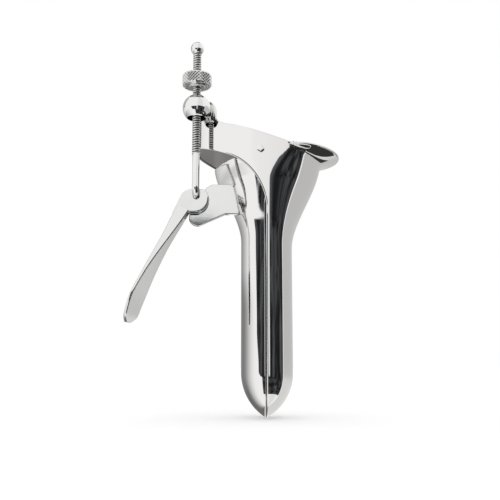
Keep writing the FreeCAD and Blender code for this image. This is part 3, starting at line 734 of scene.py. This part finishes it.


# the thread's crests are polished, and its grooves are painted dark as shade
thread_steel_groove_shade = polished_steel("threaded_stainless_groove_shade", "#e2e2e0", 0.07, 0.05, 0.000006, (0.15, 0.15, 2.0),
                                ("#1e1d1c", thread_root + 0.02, thread_root + 0.24))
thread_length = thread_high - thread_low
thread_inputs = {"Crest Radius": thread_radius * 0.001, "Root Radius": thread_root * 0.001,
                 "Pitch": thread_pitch * 0.001, "Length": thread_length * 0.001,
                 "Rings": int(thread_length / thread_pitch * 10), "Finish": thread_steel_groove_shade}
thread_tree, given = geometry_tree("rolled_thread", thread_inputs)
do = maths(thread_tree)
tube = node(thread_tree, "GeometryNodeMeshCylinder",
            {"Vertices": 48, "Side Segments": given["Rings"], "Radius": 1.0, "Depth": given["Length"]},
            fill_type="NGON")
here = node(thread_tree, "GeometryNodeInputPosition").outputs[0]
spot = node(thread_tree, "ShaderNodeSeparateXYZ", {0: here}).outputs
lap = do("DIVIDE", do("ARCTAN2", spot["Y"], spot["X"]), 2.0 * math.pi)
phase = do("FRACT", do("SUBTRACT", do("DIVIDE", spot["Z"], given["Pitch"]), lap))
ridge = do("SUBTRACT", 1.0, do("ABSOLUTE", do("MULTIPLY_ADD", phase, 2.0, -1.0)))
ridge = node(thread_tree, "ShaderNodeMapRange", {"Value": ridge, "From Min": 0.12, "From Max": 0.82})
tooth = do("SUBTRACT", given["Crest Radius"], given["Root Radius"])
size = do("MULTIPLY_ADD", ridge.outputs["Result"], tooth, given["Root Radius"])
moved = node(thread_tree, "ShaderNodeCombineXYZ",
             {"X": do("MULTIPLY", spot["X"], size), "Y": do("MULTIPLY", spot["Y"], size), "Z": spot["Z"]})
shaped = node(thread_tree, "GeometryNodeSetPosition",
              {"Geometry": tube.outputs["Mesh"], "Position": moved.outputs[0]})
end_tree(thread_tree, shaped.outputs[0], given["Finish"])
thread = grow("rod_thread", thread_tree, thread_inputs, (rod_x, rod_y, 0.5 * (thread_low + thread_high)))
smooth(thread.data, 60.0)
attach(thread, "screw")


def sweep(name, line, radius, sides=48, cap=0.3):
    """A round bar along a line in the plane of Y and Z, with rounded ends."""
    line = np.array(line, float)
    way = unit(np.gradient(line, axis=0))
    turns = np.linspace(0.0, 2.0 * math.pi, sides, endpoint=False)
    across = np.array([1.0, 0.0, 0.0])
    caps = []
    for end, sign in ((0, -1.0), (-1, 1.0)):
        steps = [(line[end] + way[end] * sign * cap * math.sin(t), way[end], radius - cap + cap * math.cos(t))
                 for t in edge_steps[1:]]
        caps.append(steps + [(line[end] + way[end] * sign * cap, way[end], 0.0)])
    stations = caps[0][::-1] + [(p, w, radius) for p, w in zip(line, way)] + caps[1]
    points = np.array([[p + (across * math.cos(t) + np.cross(w, across) * math.sin(t)) * r for t in turns]
                       for p, w, r in stations])
    index = np.arange(len(stations) * sides).reshape(-1, sides)
    index[0], index[-1] = index[0, 0], index[-1, 0]
    return mesh_object(name, points.reshape(-1, 3), grid_faces(index, closed=True))


bend_z = pin_z + bend_radius
line = [(rod_x, rod_y, z) for z in np.linspace(thread_low + 0.6, bend_z, 20)]
line += [(rod_x, rod_y + bend_radius * (1.0 - math.cos(t)), bend_z - bend_radius * math.sin(t))
         for t in np.radians(np.arange(5.0, 90.1, 5.0))]
line += [(rod_x, y, pin_z) for y in np.linspace(rod_y + bend_radius, rod_tail, 10)[1:]]
shank = sweep("rod_shank", line, shank_radius)
coat(shank, turned_steel)
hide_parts("screw_rod")
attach(shank, "screw")

# End stop: a small turned ball soldered on the rod's end, which keeps the nut from coming off.
stop_z, stop_radius, stop_seat = 39.4, 2.5, 1.6
low = -math.sqrt(stop_radius ** 2 - stop_seat ** 2)
turns = np.linspace(math.atan2(low, stop_seat), 0.5 * math.pi, 40)
profile = [(0.0, low)] + [(stop_radius * math.cos(t), stop_radius * math.sin(t)) for t in turns]
stop_ball = lathe("stop_ball", profile, (rod_x, rod_y, stop_z), sides=64, rounding=0.05)
coat(stop_ball, turned_steel)
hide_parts("end_stop")
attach(stop_ball, "screw")

# Knurled nut: turned with a collar below, chamfered, and rolled with a diamond knurl whose
# points stand on the rim in staggered rows.
nut_radius, nut_height, nut_z, collar_radius, collar_height = 5.5, 4.5, 24.5, 3.0, 0.7
nut_bore = 1.62
knurl_depth, knurl_count, knurl_rows, knurl_step = 0.34, 28, 6, 0.6
core = nut_radius - knurl_depth
shoulder = nut_radius - 0.65
profile = [(nut_bore, -collar_height), (collar_radius, -collar_height), (collar_radius, 0.0), (3.9, 0.0),
           (4.0, 0.12), (4.5, 0.12), (4.6, 0.0), (shoulder, 0.0), (core, 0.42), (core, nut_height - 0.42),
           (shoulder, nut_height), (2.3, nut_height), (nut_bore, nut_height - 0.4), (nut_bore, -collar_height)]
nut = lathe("nut", profile, (rod_x, rod_y, nut_z), sides=120, rounding=0.1)
coat(nut, turned_steel)
# rolled knurl: bright points, with painted shade in the valleys; the real one is about 0.8 mm apart, which is
# too fine to show, so it is drawn at 1.2 mm
knurl_steel_valley_shade = polished_steel("knurled_stainless_valley_shade", "#e4e4e2", 0.1, 0.05, 0.000006, (1.0, 1.0, 1.0),
                               ("#4a4745", core, core + 0.11))
sunk = 0.02
knurl_inputs = {"Radius": (core - sunk) * 0.001, "Count": knurl_count, "Rows": knurl_rows,
                "Row Step": knurl_step * 0.001, "Depth": (knurl_depth + sunk) * 0.001, "Finish": knurl_steel_valley_shade}
knurl_tree, given = geometry_tree("diamond_knurl", knurl_inputs)
do = maths(knurl_tree)
spots = node(knurl_tree, "GeometryNodePoints", {"Count": do("MULTIPLY", given["Count"], given["Rows"])})
number = node(knurl_tree, "GeometryNodeInputIndex").outputs[0]
row = do("FLOOR", do("DIVIDE", number, given["Count"]))
# every other row is turned by half a gap
within = do("MULTIPLY_ADD", do("MODULO", row, 2.0), 0.5, do("MODULO", number, given["Count"]))
turn = do("DIVIDE", do("MULTIPLY", within, 2.0 * math.pi), given["Count"])
middle_row = do("MULTIPLY", do("SUBTRACT", given["Rows"], 1.0), 0.5)
high = do("MULTIPLY", do("SUBTRACT", row, middle_row), given["Row Step"])
place = node(knurl_tree, "ShaderNodeCombineXYZ", {"X": do("MULTIPLY", do("COSINE", turn), given["Radius"]),
                                                  "Y": do("MULTIPLY", do("SINE", turn), given["Radius"]),
                                                  "Z": high})
spots = node(knurl_tree, "GeometryNodeSetPosition",
             {"Geometry": spots.outputs[0], "Position": place.outputs[0]})
# a tooth is a cone of four sides
peak = node(knurl_tree, "GeometryNodeMeshCone",
            {"Vertices": 4, "Radius Top": 0.0, "Radius Bottom": 1.0, "Depth": 1.0})
face_out = node(knurl_tree, "ShaderNodeCombineXYZ", {"X": 0.0, "Y": 0.5 * math.pi, "Z": turn})
half_gap = do("DIVIDE", do("MULTIPLY", given["Radius"], math.pi), given["Count"])
overlap = 1.04
foot = node(knurl_tree, "ShaderNodeCombineXYZ", {"X": do("MULTIPLY", given["Row Step"], overlap),
                                                 "Y": do("MULTIPLY", half_gap, overlap), "Z": given["Depth"]})
teeth = node(knurl_tree, "GeometryNodeInstanceOnPoints",
             {"Points": spots.outputs[0], "Instance": peak.outputs["Mesh"],
              "Rotation": face_out.outputs[0], "Scale": foot.outputs[0]})
end_tree(knurl_tree, teeth.outputs[0], given["Finish"])
knurl = grow("nut_knurl", knurl_tree, knurl_inputs, (rod_x, rod_y, nut_z + 0.5 * nut_height))
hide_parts("knurled_nut")
for piece in (nut, knurl):
    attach(piece, "nut")

# Bracket: a thin saddle brazed round the crest of the upper valve, narrowing to a tongue, with a
# 2 mm flange that stands out from it and backs the lever's head. Both are ground, not mirror-bright.
saddle_edge, braze_gap = 0.85, 0.03
saddle_half, neck_half = 9.0, 3.2
saddle_top, saddle_shoulder, saddle_neck, saddle_end = -3.4, -11.5, -16.0, -20.3
tongue_z = saddle_end + neck_half


def saddle_width(z):
    round_end = np.sqrt(np.maximum(neck_half ** 2 - np.maximum(tongue_z - z, 0.0) ** 2, 0.0))
    widening = np.clip((z - saddle_neck) / (saddle_shoulder - saddle_neck), 0.0, 1.0)
    return np.where(z < tongue_z, round_end, neck_half + (saddle_half - neck_half) * widening)


def crest_x(y, z):
    """The x of the upper valve's outside at y and z."""
    centre, reach, half_width, fullness = upper_section(z)
    across = np.clip(np.abs(y) / half_width, 0.0, 1.0)
    cosine = across
    for _ in range(8):
        slope = (1.0 + 3.0 * fullness - 12.0 * fullness * cosine ** 2) / (1.0 - fullness)
        cosine = np.clip(cosine - (fuller(cosine, fullness) - across) / slope, 0.0, 1.0)
    return centre + (reach - centre) * fuller(np.sqrt(1.0 - cosine ** 2), fullness)


tongue_zs = tongue_z - neck_half * np.cos(np.radians(np.arange(0.0, 90.0, 5.0)))
zs = np.concatenate([tongue_zs, np.linspace(tongue_z, saddle_top - sheet_edge, 34),
                     saddle_top - sheet_edge * edge_rows[-2::-1]])
grid = []
for z in zs:
    wide = float(saddle_width(np.array(z)))
    inner = max(wide - sheet_edge, 0.0)
    edge = edge_rows[:-1] * min(sheet_edge, wide)
    ys = np.concatenate([-wide + edge, np.linspace(-inner, inner, 29), (wide - edge)[::-1]])
    grid.append(np.stack([crest_x(ys, np.full_like(ys, z)), ys, np.full_like(ys, z)], axis=1)[::-1])
grid = np.array(grid)
grid_n = unit(np.cross(slope_along(grid, 1), slope_along(grid, 0)))
grid_n[0] = grid_n[3].mean(0)
index = np.arange(grid.shape[0] * grid.shape[1]).reshape(grid.shape[:2])
index[0] = index[0, 0]
points, normals = grid.reshape(-1, 3), unit(grid_n.reshape(-1, 3))
points = points + normals * (braze_gap + saddle_edge)
saddle = thicken("bracket_saddle", points, normals, np.full(len(points), saddle_edge), grid_faces(index))
lever_steel = polished_steel("ground_stainless", "#dcdcdb", 0.06, 0.05, 0.000008, (1.0, 0.2, 1.0))


def plate(name, outline, y0, y1, edge=0.35):
    """A flat plate between two planes, cut to an outline of (x, z) points, with rounded edges."""
    outline = np.array(soften(outline, 0.6, closed=True))
    following = np.roll(outline, -1, axis=0)
    if np.sum(outline[:, 0] * following[:, 1] - following[:, 0] * outline[:, 1]) > 0.0:
        outline = outline[::-1]
    run = unit(np.roll(outline, -1, axis=0) - outline)
    before = np.roll(run, 1, axis=0)
    inward = unit(np.stack([run[:, 1] + before[:, 1], -(run[:, 0] + before[:, 0])], axis=1))
    inward /= np.maximum((inward * np.stack([run[:, 1], -run[:, 0]], axis=1)).sum(1, keepdims=True), 0.5)
    steps = [(edge + 0.12, 0.0)]
    steps += [(edge * (1.0 - math.sin(t)), edge * (1.0 - math.cos(t))) for t in edge_steps]
    rings = [(y0 + dy, d) for d, dy in steps] + [(y1 - dy, d) for d, dy in steps[::-1]]
    points = np.array([[(p[0], y, p[1]) for p in outline + inward * d] for y, d in rings])
    count = len(outline)
    index = np.arange(len(rings) * count).reshape(-1, count)
    faces = grid_faces(index, closed=True) + [list(index[0][::-1]), list(index[-1])]
    return mesh_object(name, points.reshape(-1, 3), faces)


def combine(piece, other, operation):
    """Cuts or joins a second piece into the first and leaves one plain mesh."""
    modifier = piece.modifiers.new("Combine", "BOOLEAN")
    modifier.operation, modifier.solver, modifier.object = operation, "EXACT", other
    bpy.context.view_layer.update()
    mesh = bpy.data.meshes.new_from_object(piece.evaluated_get(bpy.context.evaluated_depsgraph_get()))
    piece.modifiers.remove(modifier)
    old = piece.data
    piece.data = mesh
    mesh.name = piece.name
    bpy.data.meshes.remove(old)
    bpy.data.objects.remove(other)
    smooth(mesh)


def slot_cutter(y0, y1, radius=1.41, drop=2.6):
    """The tool for the slot in which the rod's foot turns."""
    turns = np.linspace(0.0, math.pi, 17)
    top = [(rod_x + radius * math.cos(t), pin_z + radius * math.sin(t)) for t in turns]
    low = [(rod_x - radius * math.cos(t), pin_z - drop - radius * math.sin(t)) for t in turns]
    outline = np.array(top + low)
    points = [(x, y0, z) for x, z in outline] + [(x, y1, z) for x, z in outline]
    count = len(outline)
    faces = [[k, (k + 1) % count, (k + 1) % count + count, k + count] for k in range(count)]
    return mesh_object("slot", points, faces + [list(range(count))[::-1], list(range(count, 2 * count))])


lever_front, lever_thick, flange_thick = -11.8, 3.0, 2.0
flange_front = lever_front + lever_thick
head_low, seam_gap, flange_y, flange_low_x = -22.4, 0.35, -7.8, rod_x + 10.4
outline = arc_points((rod_x + 5.9, saddle_shoulder + 0.2), (rod_x + 3.7, saddle_shoulder - 0.9),
                     (rod_x + 2.2, pin_z + 1.0))
outline += [(rod_x - 2.8, pin_z)]
outline += arc_points((rod_x - 2.8, head_low - 2.4), (rod_x - 0.4, head_low - 4.4),
                      (rod_x + 2.1, head_low - 4.0))
outline += [(flange_low_x, head_low - 0.2)]
for z in np.linspace(head_low - 0.2, saddle_shoulder + 0.2, 9):
    seam_x = float(crest_x(np.array(flange_y), np.array(z))) + seam_gap
    if seam_x > flange_low_x:
        outline.append((seam_x, float(z)))
flange = plate("bracket_flange", outline, flange_front, flange_front + flange_thick, 0.3)
combine(flange, slot_cutter(flange_front - 1.0, flange_front + flange_thick + 1.0), "DIFFERENCE")
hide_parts("lever_bracket")
for piece in (saddle, flange):
    coat(piece, lever_steel, lever_steel)
    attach(piece, "upper")

# Thumb lever: forged and ground stainless steel, a slotted head brazed to the flange, and an arm
# that twists and spreads from a tall bar into a thin, tilted thumb paddle.


def bend_through(values, knots, where):
    """Natural cubic spline through values at knots."""
    values, knots = np.asarray(values, float), np.asarray(knots, float)
    count, h = len(knots), np.diff(knots)
    a, b = np.eye(count), np.zeros(count)
    for k in range(1, count - 1):
        a[k, k - 1:k + 2] = h[k - 1], 2.0 * (h[k - 1] + h[k]), h[k]
        b[k] = 6.0 * ((values[k + 1] - values[k]) / h[k] - (values[k] - values[k - 1]) / h[k - 1])
    m = np.linalg.solve(a, b)
    k = np.clip(np.searchsorted(knots, where) - 1, 0, count - 2)
    left, right = knots[k + 1] - where, where - knots[k]
    bend = (m[k] * left ** 3 + m[k + 1] * right ** 3) / (6.0 * h[k])
    bend = bend + (values[k] / h[k] - m[k] * h[k] / 6.0) * left
    return bend + (values[k + 1] / h[k] - m[k + 1] * h[k] / 6.0) * right


# stations along the arm: x, z, its height, its depth along Y and its tilt in degrees
stations = np.array([
    (rod_x - 4.5, head_low + 1.7, 4.6, 3.2, 5.0),
    (rod_x - 6.1, head_low - 0.85, 4.6, 3.7, 6.0),
    (rod_x - 9.6, head_low - 7.1, 3.5, 5.3, 7.0),
    (rod_x - 13.4, head_low - 13.7, 2.4, 7.6, 9.0),
    (rod_x - 16.8, head_low - 19.8, 1.65, 10.2, 10.5),
    (rod_x - 19.55, head_low - 25.2, 1.3, 12.4, 10.6),
    (rod_x - 22.1, head_low - 30.85, 1.3, 14.0, 10.2),
    (rod_x - 23.5, head_low - 35.6, 1.3, 12.8, 10.0),
    (rod_x - 24.1, head_low - 38.3, 1.25, 9.9, 10.0),
    (rod_x - 24.25, head_low - 39.8, 1.1, 4.6, 10.0)])
knots = np.concatenate([[0.0], np.cumsum(np.hypot(*np.diff(stations[:, :2], axis=0).T))])
where = np.concatenate([np.linspace(0.0, knots[-3], 70), np.linspace(knots[-3], knots[-1], 26)[1:]])
dense = np.stack([bend_through(stations[:, k], knots, where) for k in range(5)], axis=1)
way = unit(np.gradient(dense[:, :2], axis=0))
middle_y = lever_front + 0.5 * lever_thick
rings = []
for (x, z, tall, wide, tilt), (wx, wz) in zip(dense, way):
    turn = math.radians(tilt)
    up = np.array([-wz, 0.0, wx])
    up = -up if up[0] > 0.0 else up
    deep = unit(np.array([0.0, 1.0, 0.0]) * math.cos(turn) - up * math.sin(turn))
    normal = unit(np.cross(deep, np.array([wx, 0.0, wz])))
    centre = np.array([x, middle_y - 0.5 * wide, z]) + deep * 0.5 * wide
    corner = min(0.42 * tall, 0.6)
    ring = []
    side, face = 0.5 * wide - corner, 0.5 * tall - corner
    for ax, bx, base in ((-1, -1, 180.0), (1, -1, 270.0), (1, 1, 0.0), (-1, 1, 90.0)):
        round_corner = centre + deep * ax * side + normal * bx * face
        ring += [round_corner + (deep * math.cos(t) + normal * math.sin(t)) * corner
                 for t in np.radians(base + np.linspace(0.0, 90.0, 7))]
        # the two broad faces get points between their corners
        if ax == bx:
            ring += [centre + deep * s + normal * (bx * 0.5 * tall)
                     for s in np.linspace(ax * side, -ax * side, 10)[1:-1]]
    rings.append(ring)
rings = np.array(rings)
count = rings.shape[1]
index = np.arange(len(rings) * count).reshape(-1, count)
faces = grid_faces(index, closed=True) + [list(index[0][::-1]), list(index[-1])]
lever = mesh_object("lever_arm", rings.reshape(-1, 3), faces)
outline = arc_points((rod_x - 5.9, pin_z - 0.6), (rod_x - 4.1, pin_z + 1.7), (rod_x - 0.8, pin_z + 2.4))
outline += arc_points((rod_x + 2.4, pin_z + 2.4), (rod_x + 4.0, pin_z + 1.2), (rod_x + 4.4, pin_z - 1.2))
outline += arc_points((rod_x + 4.4, pin_z - 1.2), (rod_x + 3.0, pin_z - 4.6), (rod_x - 0.2, head_low))[1:]
outline += [(rod_x - 2.9, head_low), (rod_x - 9.0, head_low - 1.0)]
head = plate("lever_head", outline, lever_front, lever_front + lever_thick, 0.35)
combine(head, slot_cutter(lever_front - 1.0, lever_front + lever_thick + 1.0), "DIFFERENCE")
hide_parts("thumb_lever")
for piece in (lever, head):
    coat(piece, lever_steel, lever_steel)
    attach(piece, "upper")

# Studio: a pale table that keeps a soft contact shadow, in a white tent that only mirrors see. The
# side where the camera stands is open and dark, and two dark cards lie right of the blades; the
# polished steel mirrors them. All other light comes from a plain white world.
table_reach, table_z = 2.0, -0.0961


def bare_material(name):
    """A material without nodes, which is never sampled as a lamp."""
    material = bpy.data.materials.new(name)
    material.use_nodes = True
    material.cycles.emission_sampling = "NONE"
    material.node_tree.nodes.clear()
    return material


def mirrors_only(piece):
    """Hides a piece of the studio from all but glossy rays."""
    piece.visible_camera = piece.visible_diffuse = piece.visible_transmission = False
    piece.visible_shadow = piece.visible_volume_scatter = False


mesh = bpy.data.meshes.new("table")
corners = [(x * table_reach, y * table_reach, table_z) for x, y in ((-1, -1), (1, -1), (1, 1), (-1, 1))]
mesh.from_pydata(corners, [], [[0, 1, 2, 3]])
table_top = add_object("table", mesh)
pale = bpy.data.materials.new("pale_table")
pale.use_nodes = True
tree = pale.node_tree
shader = tree.nodes["Principled BSDF"]
shader.inputs["Base Color"].default_value = linear("#f2f2f2")
shader.inputs["Roughness"].default_value = 0.9
shader.inputs["Specular IOR Level"].default_value = 0.0
ray = node(tree, "ShaderNodeLightPath").outputs
table_glow = maths(tree)("MULTIPLY", ray["Is Camera Ray"], 0.17)
glow = node(tree, "ShaderNodeEmission", {"Color": (1.0, 1.0, 1.0, 1.0), "Strength": table_glow})
seen = node(tree, "ShaderNodeAddShader", {0: shader.outputs[0], 1: glow.outputs[0]})
through = node(tree, "ShaderNodeBsdfTransparent")
both = node(tree, "ShaderNodeMixShader", {0: ray["Is Glossy Ray"], 1: seen.outputs[0], 2: through.outputs[0]})
tree.links.new(both.outputs[0], tree.nodes["Material Output"].inputs["Surface"])
mesh.materials.append(pale)

world = bpy.data.worlds.new("studio")
bpy.context.scene.world = world
world.use_nodes = True
world.cycles_visibility.glossy = False
world.node_tree.nodes.clear()
back = node(world.node_tree, "ShaderNodeBackground", {"Color": (1.0, 1.0, 1.0, 1.0), "Strength": 1.0})
node(world.node_tree, "ShaderNodeOutputWorld", {"Surface": back.outputs[0]})

tent_radius, tent_z = 0.25, -0.076
shell = bmesh.new()
middle = Matrix.Translation((0.0, 0.0, tent_z))
bmesh.ops.create_icosphere(shell, subdivisions=5, radius=tent_radius, matrix=middle)
mesh = bpy.data.meshes.new("tent")
shell.to_mesh(mesh)
shell.free()
tent = add_object("tent", mesh)
mirrors_only(tent)
cloth = bare_material("tent_cloth")
mesh.materials.append(cloth)
tree = cloth.node_tree
do = maths(tree)
spot = node(tree, "ShaderNodeTexCoord").outputs["Object"]
part = node(tree, "ShaderNodeSeparateXYZ", {0: spot}).outputs
# azimuth is measured from the open side (-Y) towards +X, elevation from the tent's middle, which is
# at the camera's height
to_degrees = 180.0 / math.pi
azimuth = do("MULTIPLY", do("ARCTAN2", part["X"], do("MULTIPLY", part["Y"], -1.0)), to_degrees)
level = do("DIVIDE", do("SUBTRACT", part["Z"], tent_z), tent_radius)
elevation = do("MULTIPLY", do("ARCSINE", level), to_degrees)


def ramp(value, start, end):
    """0 at start, 1 at end, smooth between."""
    return node(tree, "ShaderNodeMapRange", {"Value": value, "From Min": start, "From Max": end},
                interpolation_type="SMOOTHSTEP").outputs["Result"]


def both_of(a, b):
    return do("MULTIPLY", a, b)


def blend_of(share, low, high):
    """low where share is 0, high where it is 1."""
    return do("MULTIPLY_ADD", share, do("SUBTRACT", high, low), low)


def between(value, low, high, soft=1.5):
    """1 where the value lies between two limits."""
    return both_of(ramp(value, low, low + soft), ramp(value, high, high - soft))


# inside the open side hangs thin smoke; the walls are white, and greyer towards the back
smoke = node(tree, "ShaderNodeTexNoise", {"Vector": spot, "Scale": 16.0, "Detail": 5.0, "Roughness": 0.6})
dark = blend_of(ramp(smoke.outputs["Fac"], 0.40, 0.72), 0.013, 0.12)
white = blend_of(both_of(ramp(azimuth, -9.0, 14.0), ramp(azimuth, 60.0, 40.0)), 1.1, 0.93)
high_left = do("MULTIPLY_ADD", ramp(elevation, 8.0, 16.0), 35.0, azimuth)
left_wall = blend_of(ramp(high_left, -38.0, -150.0), white, 0.24)
low_left = both_of(ramp(azimuth, -100.0, -140.0), ramp(elevation, -2.0, -24.0))
left_wall = both_of(left_wall, blend_of(low_left, 1.0, 0.7))
right_wall = blend_of(ramp(elevation, 2.0, -14.0), 0.62, 0.82)
strength = blend_of(between(azimuth, -176.0, -30.0, 0.5), white, left_wall)
strength = blend_of(both_of(between(azimuth, 69.5, 172.0), ramp(elevation, 45.0, 30.0)), strength, right_wall)
back_strip = both_of(ramp(azimuth, 172.0, 174.0), between(elevation, -20.0, 14.0, 4.0))
strength = blend_of(back_strip, strength, 0.42)
# two dark stand posts on the left, above the table
posts = do("ADD", between(azimuth, -108.0, -98.0), between(azimuth, -126.0, -119.0))
strength = blend_of(both_of(posts, between(elevation, 31.0, 62.0)), strength, 0.05)
# the open side's outline: slanting on the left, a step up on the right, a light post in its middle
left_edge = blend_of(ramp(elevation, 22.0, 5.0), -44.0, -38.0)
left_edge = do("MULTIPLY_ADD", ramp(elevation, 5.0, -1.0), 8.0, left_edge)
left_edge = do("MULTIPLY_ADD", ramp(elevation, -1.0, -6.0), 15.0, left_edge)
from_left = do("SUBTRACT", azimuth, left_edge)
open_top = blend_of(ramp(azimuth, 2.4, 3.4), 23.0, 27.0)
from_top = do("SUBTRACT", elevation, open_top)
open_side = both_of(both_of(ramp(from_left, 0.0, 1.5), ramp(azimuth, 67.5, 66.5)), ramp(from_top, 0.5, -0.5))
open_side = both_of(open_side, ramp(elevation, -50.0, -49.0))
light_post = both_of(between(azimuth, -3.0, 4.4, 0.6), ramp(elevation, -5.0, -2.0))
open_side = both_of(open_side, blend_of(light_post, 1.0, 0.12))
strength = blend_of(open_side, strength, dark)
# the dark is slightly blue
tint = node(tree, "ShaderNodeMix", {"Factor": open_side, 6: (1.0, 1.0, 1.0, 1.0), 7: (0.96, 0.99, 1.04, 1.0)},
            data_type="RGBA")
glow = node(tree, "ShaderNodeEmission", {"Color": tint.outputs[2], "Strength": strength})
node(tree, "ShaderNodeOutputMaterial", {"Surface": glow.outputs[0]})

# the two cards lie below the lip, which mirrors them, and are seen only from above
card_z, card_front, card_back = -0.045, -0.06, 0.11
corners = [(x, y, card_z) for x0, x1 in ((0.022, 0.052), (0.066, 0.125))
           for x, y in ((x0, card_front), (x1, card_front), (x1, card_back), (x0, card_back))]
mesh = bpy.data.meshes.new("cards")
mesh.from_pydata(corners, [], [[0, 1, 2, 3], [4, 5, 6, 7]])
cards = add_object("cards", mesh)
mirrors_only(cards)
card_paper = bare_material("dark_card")
mesh.materials.append(card_paper)
tree = card_paper.node_tree
below = node(tree, "ShaderNodeNewGeometry").outputs["Backfacing"]
paper = node(tree, "ShaderNodeEmission", {"Color": (1.0, 1.0, 1.0, 1.0), "Strength": 0.04})
clear = node(tree, "ShaderNodeBsdfTransparent")
either = node(tree, "ShaderNodeMixShader", {0: below, 1: paper.outputs[0], 2: clear.outputs[0]})
node(tree, "ShaderNodeOutputMaterial", {"Surface": either.outputs[0]})

camera_data = bpy.data.cameras.new("camera")
camera_data.lens = 48.5
camera_data.sensor_width = 36.0
camera_data.clip_start = 0.01
camera = bpy.data.objects.new("camera", camera_data)
camera.location = (-0.0063, -0.251, -0.076)
camera.rotation_euler = (math.radians(99.4), 0.0, 0.0)
bpy.context.scene.collection.objects.link(camera)
bpy.context.scene.camera = camera
bpy.context.scene.view_settings.view_transform = "Standard"
